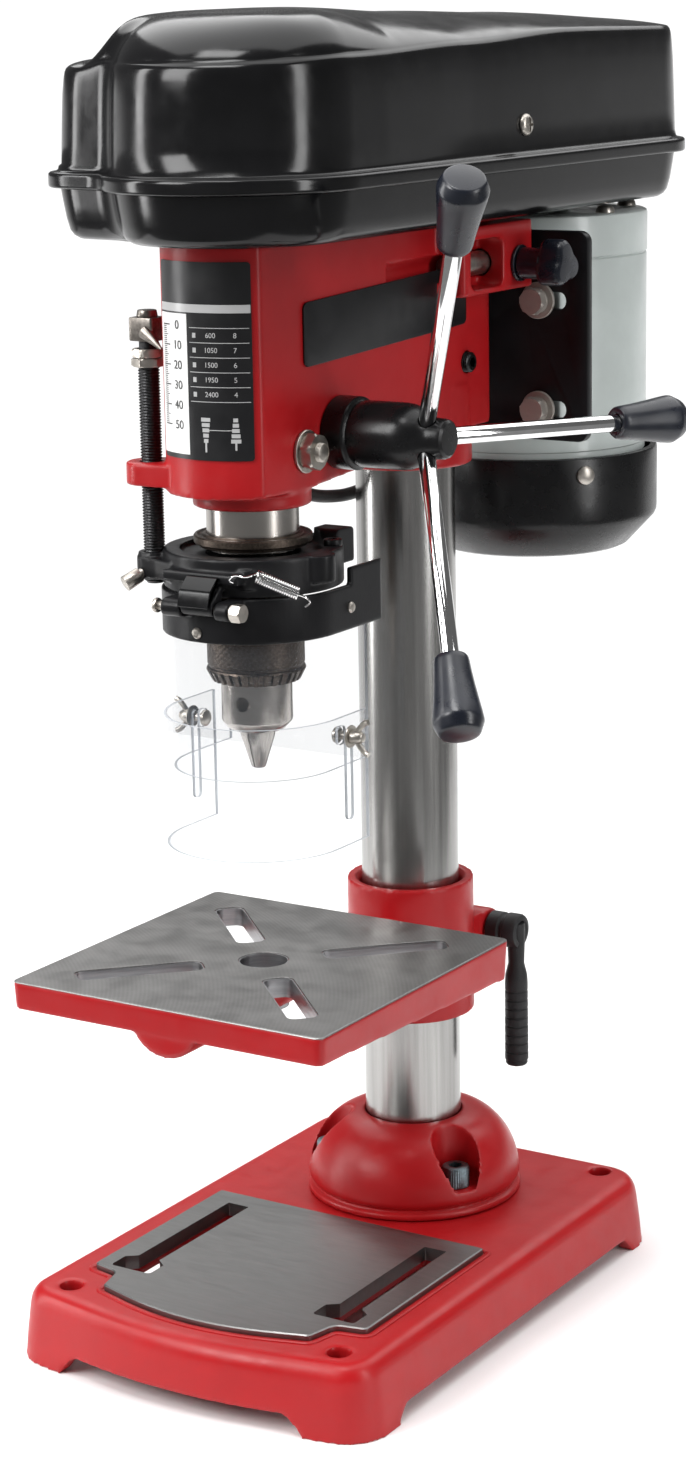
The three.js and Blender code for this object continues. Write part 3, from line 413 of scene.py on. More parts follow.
# ---------------------------------------------------------------- materials
class Nodes:
    """A short way to write a node material."""

    def __init__(self, name):
        self.mat = bpy.data.materials.new(name)
        self.mat.use_nodes = True
        self.tree = self.mat.node_tree
        self.shader = self.tree.nodes["Principled BSDF"]
        self.space = self.add("ShaderNodeTexCoord").outputs["Object"]

    def add(self, kind, **inputs):
        node = self.tree.nodes.new(kind)
        for key, value in inputs.items():
            self.set(node, key, value)
        return node

    def set(self, node, key, value):
        socket = node.inputs[key.replace("_", " ")]
        if isinstance(value, bpy.types.NodeSocket):
            self.tree.links.new(value, socket)
        else:
            socket.default_value = value

    def noise(self, scale, detail=3.0, stretch=None, rough=0.55):
        vector = self.space
        if stretch:
            m = self.add("ShaderNodeMapping", Vector=vector, Scale=stretch)
            vector = m.outputs["Vector"]
        n = self.add("ShaderNodeTexNoise", Vector=vector, Scale=scale, Detail=detail, Roughness=rough)
        return n.outputs["Fac"]

    def ramp(self, value, low, high, a=0.35, b=0.65):
        m = self.add("ShaderNodeMapRange", Value=value)
        for key, v in (("From Min", a), ("From Max", b), ("To Min", low), ("To Max", high)):
            m.inputs[key].default_value = v
        return m.outputs["Result"]

    def mix(self, factor, a, b):
        m = self.tree.nodes.new("ShaderNodeMix")
        m.data_type = "RGBA"
        for socket, value in ((m.inputs[0], factor), (m.inputs[6], a), (m.inputs[7], b)):
            if isinstance(value, bpy.types.NodeSocket):
                self.tree.links.new(value, socket)
            else:
                socket.default_value = value
        return m.outputs[2]

    def bump(self, height, strength, distance=0.0002):
        b = self.add("ShaderNodeBump", Height=height, Strength=strength, Distance=distance)
        self.tree.links.new(b.outputs["Normal"], self.shader.inputs["Normal"])

    def base(self, value):
        self.tree.links.new(value, self.shader.inputs["Base Color"])

    def rough(self, value):
        self.tree.links.new(value, self.shader.inputs["Roughness"])

    def fixed(self, **inputs):
        for key, value in inputs.items():
            self.shader.inputs[key.replace("_", " ")].default_value = value


def shade(color, factor):
    return tuple(min(1, c * factor) for c in color[:3]) + (1,)


def coated(name, color, rough=(0.22, 0.34), coat=0.4, grain=260, relief=0.12, vary=0.12, metallic=0.0,
        specular=0.5):
    """Paint or enamel: a faint mottle, uneven gloss and the soft ripple of a sprayed coat."""
    n = Nodes(name)
    n.base(n.mix(n.ramp(n.noise(38, 4), 0, 1), shade(color, 1 - vary), shade(color, 1 + vary)))
    n.rough(n.ramp(n.noise(90, 4), rough[0], rough[1]))
    n.bump(n.noise(grain, 3), relief, 0.0004)
    n.fixed(Metallic=metallic, Coat_Weight=coat, Coat_Roughness=0.08, Specular_IOR_Level=specular)
    return n.mat


def metal(name, color, rough=(0.16, 0.3), stretch=None, scale=500, relief=0.05, vary=0.14):
    """Bare metal, with the fine lines of how it was ground or turned."""
    n = Nodes(name)
    lines = n.noise(scale, 4, stretch)
    n.base(n.mix(n.ramp(lines, 0, 1), shade(color, 1 - vary), shade(color, 1 + vary)))
    n.rough(n.ramp(n.noise(scale * 0.7, 3, stretch), rough[0], rough[1]))
    n.bump(lines, relief, 0.0001)
    n.fixed(Metallic=1.0)
    return n.mat


def machined(name, color, centre, rough=(0.30, 0.42)):
    """A face-milled surface: fine arcs swept by a wide cutter."""
    n = Nodes(name)
    place = n.add("ShaderNodeMapping", Vector=n.space, Location=centre)
    waves = n.add("ShaderNodeTexWave", Vector=place.outputs["Vector"], Scale=170, Distortion=0.3, Detail=1,
            Detail_Scale=1.0)
    waves.wave_type = "RINGS"
    waves.rings_direction = "Z"
    swirl = waves.outputs["Fac"]
    tone = n.mix(n.ramp(n.noise(24, 4), 0, 1, 0.3, 0.7), shade(color, 0.82), shade(color, 1.12))
    n.base(n.mix(n.ramp(swirl, 0.0, 0.35, 0, 1), tone, shade(color, 1.3)))
    n.rough(n.ramp(n.noise(60, 3), rough[0], rough[1]))
    n.bump(swirl, 0.03, 0.0002)
    n.fixed(Metallic=0.85)
    return n.mat


def clear_sheet(name):
    """Clear plastic: a faint grey film with a sharp gloss, which what lies behind shows through."""
    n = Nodes(name)
    n.rough(n.ramp(n.noise(60, 3), 0.04, 0.09))
    n.base(n.mix(n.ramp(n.noise(30, 2), 0, 1), (0.26, 0.30, 0.35, 1), (0.30, 0.34, 0.39, 1)))
    n.fixed(Alpha=0.05, IOR=1.45, Specular_IOR_Level=0.5)
    return n.mat


RED = coated("red enamel", (0.37, 0.0070, 0.0095), (0.3, 0.42), 0.0, 240, 0.06, 0.05, specular=0.34)
BLACK_GLOSS = coated("black gloss", (0.006, 0.006, 0.0065), (0.13, 0.20), 0.0, 190, 0.03, 0.2, specular=0.3)
BLACK_SATIN = coated("black satin", (0.008, 0.008, 0.009), (0.30, 0.42), 0.0, 900, 0.10, 0.2, specular=0.22)
BLACK_CAP = coated("black semi gloss", (0.006, 0.006, 0.0065), (0.24, 0.32), 0.0, 420, 0.06, 0.2,
        specular=0.3)
NAVY = coated("moulded plastic", (0.008, 0.010, 0.017), (0.24, 0.36), 0.0, 1300, 0.08, 0.2)
ROUGH_PLASTIC = coated("rough plastic", (0.011, 0.011, 0.012), (0.42, 0.6), 0.0, 1500, 0.5, 0.2,
        specular=0.35)
MOTOR_GREY = coated("grey enamel", (0.50, 0.545, 0.53), (0.28, 0.4), 0.2, 500, 0.08, 0.05)
RUBBER = coated("rubber", (0.012, 0.012, 0.012), (0.5, 0.7), 0.0, 1400, 0.3, 0.2)
GREEN = coated("green button", (0.02, 0.22, 0.05), (0.3, 0.4), 0.1, 900, 0.1)
RED_BUTTON = coated("red button", (0.45, 0.015, 0.015), (0.3, 0.4), 0.1, 900, 0.1)
WHITE_LABEL = coated("label white", (0.78, 0.78, 0.77), (0.3, 0.4), 0.0, 900, 0.02, 0.03)
BLACK_LABEL = coated("label black", (0.006, 0.006, 0.007), (0.30, 0.40), 0.0, 900, 0.02, 0.1)
GREY_PRINT = coated("label grey", (0.45, 0.45, 0.45), (0.3, 0.4), 0.1, 900, 0.02, 0.05)
COLUMN = metal("ground steel tube", (0.36, 0.355, 0.345), (0.2, 0.27), (1, 1, 0.02), 420, 0.012, 0.10)
STEEL = metal("turned steel", (0.42, 0.395, 0.37), (0.23, 0.27), None, 45, 0.0, 0.03)
BRIGHT = metal("zinc plated steel", (0.46, 0.43, 0.39), (0.32, 0.44), None, 400, 0.02, 0.08)
CHROME = metal("chrome", (0.80, 0.80, 0.80), (0.05, 0.10), None, 120, 0.01, 0.05)
DARK = metal("blackened steel", (0.085, 0.068, 0.056), (0.34, 0.5), None, 900, 0.12, 0.3)
BLUED = metal("blued steel", (0.16, 0.20, 0.22), (0.3, 0.42), None, 900, 0.08, 0.2)
BLACK_STEEL = metal("black oxide", (0.035, 0.035, 0.036), (0.3, 0.45), None, 900, 0.1, 0.25)
BOLT = coated("zinc plated bolt", (0.36, 0.33, 0.30), (0.4, 0.5), 0.0, 900, 0.05, 0.1, metallic=0.55)
STEEL_GREY = metal("machined steel block", (0.22, 0.20, 0.18), (0.3, 0.4), None, 700, 0.03, 0.2)
IRON = metal("machined iron", (0.33, 0.33, 0.34), (0.3, 0.45), (0.05, 0.05, 1), 700, 0.08)
PAD = metal("ground pad", (0.22, 0.218, 0.215), (0.33, 0.40), (0.15, 1, 1), 500, 0.015, 0.04)
TABLE_TOP = machined("milled table", (0.22, 0.216, 0.212), (0.22, 0.30, 0))
CLEAR = clear_sheet("clear polycarbonate")
CLEAR_EDGE = coated("sawn polycarbonate edge", (0.50, 0.52, 0.55), (0.3, 0.4), 0.0, 900, 0.05, 0.1)


def done(obj, material, body, slot, *nodes, angle=35):
    """Puts a finished piece into the row frame, on its body."""
    obj.data.transform(TO_ROW)
    obj.data.materials.clear()
    obj.data.materials.append(material)
    smooth_faces(obj, angle)
    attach(obj, body)
    if nodes:
        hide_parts(*nodes)
    return obj


# ---------------------------------------------------------------- base and column
def base():
    plan = dense(rounded([
        (95, 75, 22), (-95, 75, 22), (-95, -198, 20), (0, -216, 260), (95, -198, 20)], 14), 8)
    shape = [(0, 0), (0.6, 1.2), (1.6, 12), (3.2, 24), (3.8, 27.5), (5.0, 30.2), (6.8, 32.3), (9.0, 33.4),
            (11.5, 33.6)]
    body = loft("base_casting", [level(inset(plan, d), z) for d, z in shape])
    hollow = loft("c", [level(inset(plan, 8), -2), level(inset(plan, 11), 26)])
    arch = rounded([(-172, -2, 0), (50, -2, 0), (42, 7.5, 7), (-164, 7.5, 7)], 6)
    arch_front = rounded([(-66, -2, 0), (66, -2, 0), (57, 9, 7), (-57, 9, 7)], 6)
    well = [(61.3, -71.5, 1), (61.3, -145.5, 0), (66.3, -149.5, 0), (66.3, -162, 2), (42.8, -162, 2),
            (42.8, -149.5, 0), (47.8, -145.5, 0), (47.8, -71.5, 1)]
    holes = []
    for x, y in ((71.4, -182.8), (-71.4, -182.8), (71.4, 57.9), (-71.4, 57.9)):
        body = merge(body, upright(x, y, 0, 30, 14))
        holes.append(upright(x, y, -2, 40, 5.3, 40))
    for side in (-1, 1):
        holes.append(prism("s", rounded(mirrored(well, side), 4), 20, 40))
    cast(body, [hollow, prism("a", arch, -120, 120, "yz"), prism("a", arch_front, -240, 120, "xz"), *holes],
            1.1, 4)
    done(body, RED, "frame", "red_paint", "base")
    edge = dense(rounded([
        (73, -60.3, 1), (-73, -60.3, 1), (-73, -163, 3), (-58.5, -166, 6), (-55, -181, 3), (0, -197.5, 130),
        (55, -181, 3), (58.5, -166, 6), (73, -163, 3)], 10), 12)
    pad = loft("base_pad", [level(edge, 30), level(edge, 36), level(inset(edge, 0.6), 36.5)])
    slot = [(60.3, -72.5, 0.6), (60.3, -146, 0.6), (65.3, -150, 0.6), (65.3, -161, 2), (43.8, -161, 2),
            (43.8, -150, 0.6), (48.8, -146, 0.6), (48.8, -72.5, 0.6)]
    for side in (-1, 1):
        cut(pad, prism("s", rounded(mirrored(slot, side), 4), 20, 40))
    done(pad, PAD, "frame", "steel")
    bead = [(3.6, 33.0), (3.4, 34.0), (2.9, 34.4), (1.4, 34.4), (0.8, 34.0), (0.6, 33.0)]
    ledge = loft("pad_ledge", [level(inset(edge, -d), z) for d, z in bead], False)
    done(ledge, RED, "frame", "red_paint")


def flange():
    profile = [(23.4, 34), (51.0, 34), (51.6, 34.5), (51.6, 36.6), (51.0, 37.2), (48.8, 37.4), (48.8, 39.6),
            (50.6, 39.9)]
    for k in range(21):
        t = math.radians(2 + 86 * k / 20)
        profile.append((24.4 + 26.8 * math.cos(t), 40.6 + 32.6 * math.sin(t)))
    profile += [(24.6, 73.2), (23.4, 72.9)]
    body = lathe("column_foot", profile, (0, 0, 0), seg=160)
    cutters = []
    for degrees in FOOT_BOLT_ANGLES:
        t = math.radians(degrees)
        x, y = FOOT_BOLT_CIRCLE * math.cos(t), FOOT_BOLT_CIRCLE * math.sin(t)
        cutters.append(upright(x, y, 46.0, 90, 11.2))
    cast(body, cutters, 0.8, 3)
    done(body, RED, "frame", "red_paint", "column_flange")
    socket_head = [(0, 46.2), (6.2, 46.2), (6.5, 46.5), (6.5, 55.2), (6.2, 56.0), (5.6, 56.3), (0, 56.3)]

    def knurl(r, angle, z):
        return r + (0.14 * math.cos(36 * angle) if 6.4 < r < 6.6 and z < 55.5 else 0)
    for i, degrees in enumerate(FOOT_BOLT_ANGLES):
        t = math.radians(degrees)
        x, y = FOOT_BOLT_CIRCLE * math.cos(t), FOOT_BOLT_CIRCLE * math.sin(t)
        head = lathe("flange_screw_%d" % (i + 1), socket_head, (x, y, 0), seg=144, ring=knurl)
        cut(head, prism("six", arc(x, y, 3.6, 10, 310, 5), 51.5, 60))
        done(head, BLUED, "frame", "dark_steel", "flange_bolt_%d" % (i + 1))


def column():
    body = lathe("column_tube", [(20, 34), (22.7, 34), (23, 34.3), (23, 496.7), (22.7, 497), (20, 497)],
            (0, 0, 0), seg=160)
    done(body, COLUMN, "frame", "steel", "column")


# ---------------------------------------------------------------- table
def bracket():
    body = rod("bracket_casting", (0, 0, 124.5), (0, 0, 190), 30, seg=128)
    merge(body,
          rod("t", (0, -49.7, TILT_Z), (0, -15, TILT_Z), 14, seg=64),
          box("e", (-13, 20, 149.5), (23, 35, 166.5)),
          across(-14, 23.8, CLAMP_Y, CLAMP_Z, 9.2, 64))
    cutters = [
        upright(0, 0, 100, 210, 24.1, 128),
        box("s", (-1.5, 15, 100), (1.5, 60, 210)),
        lathe("chamfer", [(22, 191), (27, 191), (24, 187.4), (22, 187.4)], (0, 0, 0)),
    ]
    cast(body, cutters, 0.9, 3)
    done(body, RED, "bracket", "red_paint", "table_bracket")


def clamp_lever():
    hub = lathe("clamp_lever_arm", [(0, 24.4), (7.2, 24.4), (8.2, 25.2), (8.2, 31), (7.4, 32), (7.4, 33),
            (8.4, 34), (8.4, 39.4), (7.8, 40.6), (5.8, 41.2), (5.4, 40.8), (4.6, 40.2), (0, 40.2)],
            (0, CLAMP_Y, CLAMP_Z), (1, 0, 0), 72)
    profile = [(0, -4), (4.2, -4), (4.4, 0), (4.1, 10), (3.9, 16), (4.6, 19), (5.3, 22), (5.5, 25)]
    for k in range(9):
        z = 26 + k * 4.4
        profile += [(5.55 + 0.02 * k, z), (5.55 + 0.02 * k, z + 3.3), (5.25, z + 3.7), (5.25, z + 4.2)]
    profile += [(5.4, 66.4), (4.8, 67.3), (3.2, 67.9), (0, 68)]
    arm = lathe("arm", profile, (37.9, CLAMP_Y, CLAMP_Z), (0, 0, -1), 48)
    done(merge(hub, arm), ROUGH_PLASTIC, "clamp", "black_plastic")
    stud = merge(rod("clamp_stud", (-20, CLAMP_Y, CLAMP_Z), (25, CLAMP_Y, CLAMP_Z), 3.9, seg=32),
            hexagon("n", (-20, CLAMP_Y, CLAMP_Z), (-14.4, CLAMP_Y, CLAMP_Z), 7.4))
    done(stud, BRIGHT, "clamp", "steel", "table_clamp_lever")


def slot_cutter(x, y, length, width):
    """A slot with rounded corners, laid along the diagonal of the table through a point."""
    ahead = Vector((x, y - SPINDLE_Y)).normalized()
    side = Vector((-ahead.y, ahead.x))
    corners = []
    for a, b in ((1, 1), (-1, 1), (-1, -1), (1, -1)):
        at = Vector((x, y)) + (ahead * a * length + side * b * width) / 2
        corners.append((at.x, at.y, 4.2))
    return prism("slot", rounded(corners, 6), 150, 200)


def table():
    plan = dense(rect(-80.4, -205.8, 80.4, -47, 3.5, 6), 12)
    body = loft("table_casting", [level(inset(plan, 1.3), 160), level(plan, 182.4)])
    under = [(-215, 170.4), (-215, 150), (-40, 150), (-40, 163.4)]
    cut(body, prism("w", under, -100, 100, "yz"), box("r", (-74, -199.5, 150), (74, -20, 173.6)))
    rib = rod("rib", (0, -204.8, 178), (0, -60, 178), 18, seg=96)
    cut(rib, box("x", (-30, -230, 178.6), (30, 0, 230)))
    merge(body, rib, rod("boss", (0, -75, TILT_Z), (0, -50.2, TILT_Z), 15, seg=64),
            box("web", (-7, -75, 155), (7, -50.2, 176)))
    cutters = [box("c", (-26, -49.9, 140), (26, 0, 170.6)), box("d", (-9.5, -86, 140), (9.5, -75.1, 164.5))]
    cast(body, cutters, 1.0, 3)
    flat = box("flat", (-100, -230, 181.9), (100, 0, 200))
    cut(body, flat, *table_holes(0.0))
    done(body, RED, "tilting_table", "red_paint", "table")
    top = loft("table_face", [level(inset(plan, 0.15), 181.9), level(inset(plan, 0.15), 182.2),
            level(inset(plan, 0.7), 182.62)])
    cut(top, *table_holes(0.4))
    bevel(top, 0.3, 1, 40)
    done(top, TABLE_TOP, "tilting_table", "steel")
    rims = []
    for x, y in SLOT_PLACES:
        rim = slot_cutter(x, y, SLOT_LENGTH, SLOT_WIDTH)
        cut(rim, slot_cutter(x, y, SLOT_LENGTH - 0.8, SLOT_WIDTH - 0.8),
                box("z", (-99, -240, 140), (99, 0, 173.7)), box("z", (-99, -240, 182.2), (99, 0, 210)))
        rims.append(rim)
    hole = lathe("hole", [(10.6, 162), (11, 162), (11, 182.2), (10.6, 182.2)])
    done(merge(rims[0], *rims[1:], hole), IRON, "tilting_table", "iron").name = "table_slot_walls"
    bolt = merge(hexagon("tilt_bolt", (0, -81.8, TILT_Z), (0, -76.6, TILT_Z), 7.8),
            lathe("w", [(4.6, 0), (8.6, 0), (8.6, 1.1), (4.6, 1.1)], (0, -76.5, TILT_Z), (0, 1, 0)),
            rod("s", (0, -78, TILT_Z), (0, -30, TILT_Z), 4.5, seg=32))
    done(bolt, BRIGHT, "tilting_table", "dark_steel", "table_tilt_bolt")


def table_holes(wider):
    return [slot_cutter(x, y, SLOT_LENGTH + wider, SLOT_WIDTH + wider) for x, y in SLOT_PLACES] + [
        upright(0, SPINDLE_Y, 140, 200, 11 + wider / 2, 64)]


# ---------------------------------------------------------------- head
def head():
    nose = arc(0, -129, 36, -90 + 44.0, -90 - 44.0, 28)
    plan = nose + [(-29.8, -20), (29.8, -20)]
    body = prism("head_casting_body", plan, 380, 499.7)
    under = [(-170, 370), (-10, 370), (-10, 404.6), (-30, 402.8), (-84, 397.8), (-118, 394.8), (-170, 394)]
    cut(body, prism("u", under, -60, 60, "yz"))
    lug = arc(DEPTH_X, DEPTH_Y, 11, 100, 262, 14)
    lip = [(25, -125), (-20, -125)] + lug + arc(0, -129, 33.5, -116, -64, 10) + [(24.6, -152)]
    merge(body, prism("k", rounded([(29.9, 32, 7), (-29.9, 32, 7), (-29.8, -24, 0), (29.8, -24, 0)], 8),
            405, 499.7), upright(0, 0, 388, 425, 31, 128), prism("p", lip, 396.6, 406.5),
            upright(0, SPINDLE_Y, 387.2, 402, 25.5, 96), across(24, 26.2, GUIDE_Y, GUIDE_Z, 10.5),
            across(24, 26.9, FEED_Y, FEED_Z, 17, 64), across(-24, -25.2, FEED_Y, FEED_Z, 21.5, 64))
    cutters = [
        upright(0, 0, 300, 480, 23.5, 128),
        upright(0, SPINDLE_Y, 300, 474, 20.4, 96),
        box("c", (-19, -84, 380), (19, -32, 493)),
        across(22, 40, SET_Y, SET_Z, 4.9, 32),
        across(22, 40, GUIDE_Y, GUIDE_Z, 4.3, 32),
        upright(DEPTH_X, DEPTH_Y, 380, 420, 5.0, 32),
        across(-60, 60, FEED_Y, FEED_Z, 7.9),
    ]
    for side in (-1, 1):
        lug = mirrored([(24, -20, 0), (44, -20, 3), (44, 45, 4), (24, 45, 0)], side)
        merge(body, prism("g", rounded(lug, 5), 466.3, 497))
        cutters.append(rod("c", (side * SLIDE_X, -60, SLIDE_Z), (side * SLIDE_X, 80, SLIDE_Z), 6.1, seg=40))
    cutters.append(prism("window", rect(-13, 469, 16, 491, 4, 6), 30.3, 60, "yz"))
    cutters.append(across(36, 60, KNOB_Y, KNOB_Z, 4.6, 32))
    cast(body, cutters, 0.9, 3)
    done(body, RED, "frame", "red_paint", "head_casting")
    thread = [(0, 0)]
    for k in range(7):
        thread += [(4.0, 0.9 * k), (4.6, 0.9 * k + 0.35), (4.6, 0.9 * k + 0.5), (4.0, 0.9 * k + 0.85)]
    screw = lathe("column_set_screw_tip", thread + [(3.6, 6.8), (0, 6.8)], (26, SET_Y, SET_Z), (1, 0, 0),
            48)
    cut(screw, prism("s", arc(SET_Y, SET_Z, 2.5, 0, 300, 5), 30, 36, "yz"))
    done(screw, BLACK_STEEL, "frame", "dark_steel")
    stud = rod("quill_guide_stud", (16.8, GUIDE_Y, GUIDE_Z), (35.8, GUIDE_Y, GUIDE_Z), 3.9, seg=40,
            edge=0.8)
    for k in range(6):
        merge(stud, lathe("t", [(3.7, 0), (4.1, 0.35), (4.1, 0.5), (3.7, 0.85)],
                (31.9 + k * 0.62, GUIDE_Y, GUIDE_Z), (1, 0, 0), 32))
    disc = washer(4.3, 9.2, 1.5, (26.3, GUIDE_Y, GUIDE_Z))
    nut = hexagon("n", (27.9, GUIDE_Y, GUIDE_Z), (33.4, GUIDE_Y, GUIDE_Z), 8.4, 0.9, 0.3)
    done(merge(stud, disc, nut), BRIGHT, "frame", "steel", "quill_guide_screw")


def bend(obj, radius, centre, lift):
    """Wraps a flat piece drawn in x (along the arc) and z round the head's front."""
    for v in obj.data.vertices:
        t = v.co.x / radius
        r = radius + lift + v.co.y
        v.co = Vector((centre[0] + r * math.sin(t), centre[1] - r * math.cos(t), v.co.z))
    return obj


def flat_sheet(name, points, thick=0.25):
    """A thin flat sheet in the xz plane, cut fine enough to be bent."""
    obj = prism(name, points, -thick, 0.0, "xz")
    bm = bmesh.new()
    bm.from_mesh(obj.data)
    for k in range(-12, 13):
        x = k * 2.2
        bmesh.ops.bisect_plane(bm, geom=bm.verts[:] + bm.edges[:] + bm.faces[:], plane_co=(x, 0, 0),
                plane_no=(1, 0, 0))
    bmesh.ops.recalc_face_normals(bm, faces=bm.faces)
    bm.to_mesh(obj.data)
    bm.free()
    return obj


def digits(text, x, z, size):
    data = bpy.data.curves.new("digits", "FONT")
    data.body = text
    data.size = size
    data.align_x = "CENTER"
    data.align_y = "CENTER"
    data.extrude = 0.06
    obj = bpy.data.objects.new("digits", data)
    scene.collection.objects.link(obj)
    graph = bpy.context.evaluated_depsgraph_get()
    mesh = bpy.data.meshes.new_from_object(obj.evaluated_get(graph))
    bpy.data.objects.remove(obj)
    out = bpy.data.objects.new("digits", mesh)
    scene.collection.objects.link(out)
    mesh.transform(Matrix.Rotation(math.pi / 2, 4, "X"))
    mesh.transform(Matrix.Translation((x, 0, z)))
    return out


def strip(x0, z0, x1, z1):
    return flat_sheet("strip", [(x0, z0), (x1, z0), (x1, z1), (x0, z1)], thick=0.1)


def head_label():
    """The curved plate on the front: a depth scale beside a plain chart."""
    centre, radius = (0, -129), 36.0
    card = flat_sheet("head_label", rect(-23, 411, 24, 493, 1.5), thick=0.35)
    done(bend(card, radius, centre, 0.55), BLACK_LABEL, "frame", "black_plastic")
    white = flat_sheet("depth_scale", [(-22.8, 413.0), (-4.7, 413.0), (-4.7, 471.5), (-22.8, 471.5)],
            thick=0.12)
    done(bend(white, radius, centre, 0.72), WHITE_LABEL, "frame", "black_plastic")
    marks = []
    for k in range(51):
        z = 466.6 - k * 0.832
        length = 5.0 if k % 10 == 0 else (3.6 if k % 5 == 0 else 2.4)
        half = 0.24 if k % 10 == 0 else 0.16
        marks.append(strip(-20.6, z - half, -20.6 + length, z + half))
    for k in range(6):
        marks.append(digits(str(k * 10), -10.4, 466.6 - k * 8.32, 5.2))
    done(bend(merge(marks[0], *marks[1:]), radius, centre, 0.84), BLACK_LABEL, "frame",
            "black_plastic").name = "scale_marks"
    rows = []
    for k in range(6):
        z = 466 - k * 6.1
        rows.append(strip(-3.4, z - 0.14, 22.9, z + 0.14))
    for k in range(5):
        z = 462.9 - k * 6.1
        rows.append(strip(-1.9, z - 1.0, -0.3, z + 1.0))
        rows.append(digits(str(600 + 450 * k), 6.6, z, 3.0))
        rows.append(digits(str(8 - k), 17.0, z, 3.0))
    rows.append(strip(-22.8, 472.2, 23.6, 475.6))
    for k in range(5):
        r = 2.0 + 0.55 * k
        rows.append(strip(3.5 - r / 2, 418.5 + 2.2 * k, 3.5 + r / 2, 420.1 + 2.2 * k))
        r = 4.2 - 0.55 * k
        rows.append(strip(16.5 - r / 2, 418.5 + 2.2 * k, 16.5 + r / 2, 420.1 + 2.2 * k))
    rows.append(strip(3.5, 423.6, 16.5, 423.9))
    rows.append(strip(3.1, 414.5, 3.9, 418.5))
    rows.append(strip(16.1, 415.5, 16.9, 418.5))
    done(bend(merge(rows[0], *rows[1:]), radius, centre, 0.66), GREY_PRINT, "frame",
            "black_plastic").name = "chart_marks"


def side_plate():
    plate = prism("side_plate", rounded([(-125, 446.2, 3), (4.0, 452.6, 3), (4.0, 479.6, 3),
            (-125, 473.4, 3)], 8), 25.0, 25.9, "yz")
    bevel(plate, 0.25, 2)
    for v in plate.data.vertices:
        v.co.x += 1.2 + 4.1 * (v.co.y + 125) / 129
    done(plate, BLACK_LABEL, "frame", "black_plastic")


# ---------------------------------------------------------------- cover
def cover_plan():
    points = arc(8, -142, 58, -142, 0, 30)
    points += rounded([(66, 0, 0), (66, 182, 34), (-89, 182, 34), (-80, -169, 25), (-44, -175, 0)], 14)
    return dense(points, 3)


def housing():
    plan = cover_plan()
    shape = [(16, 500), (12.6, 500.4), (10.2, 501.8), (8.6, 504), (7.2, 509), (6.0, 516), (5.2, 521.3)]
    inner = [(8, 521.3), (9, 512), (11, 505), (13.5, 503.2), (17, 502.6)]
    body = loft("belt_housing_shell", [level(inset(plan, d), z) for d, z in shape + inner])
    cut(body, prism("m", [(-13, 98), (13, 98), (13, 144), (-13, 144)], 490, 510),
            upright(0, SPINDLE_Y, 490, 510, 22))
    done(body, BLACK_GLOSS, "frame", "black_gloss", "belt_housing")
    ears = hinge_ears()
    done(ears, BLACK_SATIN, "frame", "black_gloss")


def hinge_ears():
    ears = [prism("lid_hinge_ears", rounded([(-95, 512, 2), (-82, 512, 1), (-82, 521.2, 1),
            (-95, 521.2, 2)], 4), y, y + 7, "xz") for y in (-24, 17)]
    pin = rod("p", (-93, -25.5, 519), (-93, 25.5, 519), 1.8, seg=24, edge=0.4)
    out = merge(ears[0], ears[1])
    bevel(out, 0.4, 2)
    return merge(out, pin)


def lid_heights(x, y):
    """Height of the wall's crease and of the crown above a point of the plan."""
    def along(table):
        for (a, u), (b, v) in zip(table, table[1:]):
            if y <= b:
                t = max(0, (y - a) / (b - a))
                return u + (v - u) * (t * t * (3 - 2 * t))
        return table[-1][1]
    crease = along([(-200, 573), (-133, 575.5), (-38, 578.5), (53, 582), (182, 581)])
    crown = along([(-200, 588), (-150, 592.5), (-100, 594), (0, 591), (70, 589.5), (182, 585)])
    edge = -41 + 0.16 * (y + 178)
    left = max(0.0, min(1.0, (edge - x) / 17))
    left = left * left * (3 - 2 * left)
    front = max(0.0, min(1.0, (90 - y) / 120))
    crease -= 3 * left * front
    crown -= 17 * left * front
    return crease, crown


def lid_ring(plan, t, rise, lift=0.0):
    out = []
    for x, y in plan:
        qy = max(-112, min(140, y))
        qx = -12 + 12 * max(0, min(1, (-40 - qy) / 72))
        px, py = x + (qx - x) * t, y + (qy - y) * t
        crease, crown = lid_heights(px, py)
        if rise <= 1:
            z = 529 + (crease - 529) * rise
        else:
            nose = max(0.0, min(1.0, (-95 - y) / 50))
            z = crease + (crown - crease) * (1 - (1 - (rise - 1)) ** (2.2 + 3.2 * nose))
        out.append((px, py, z + lift))
    return out


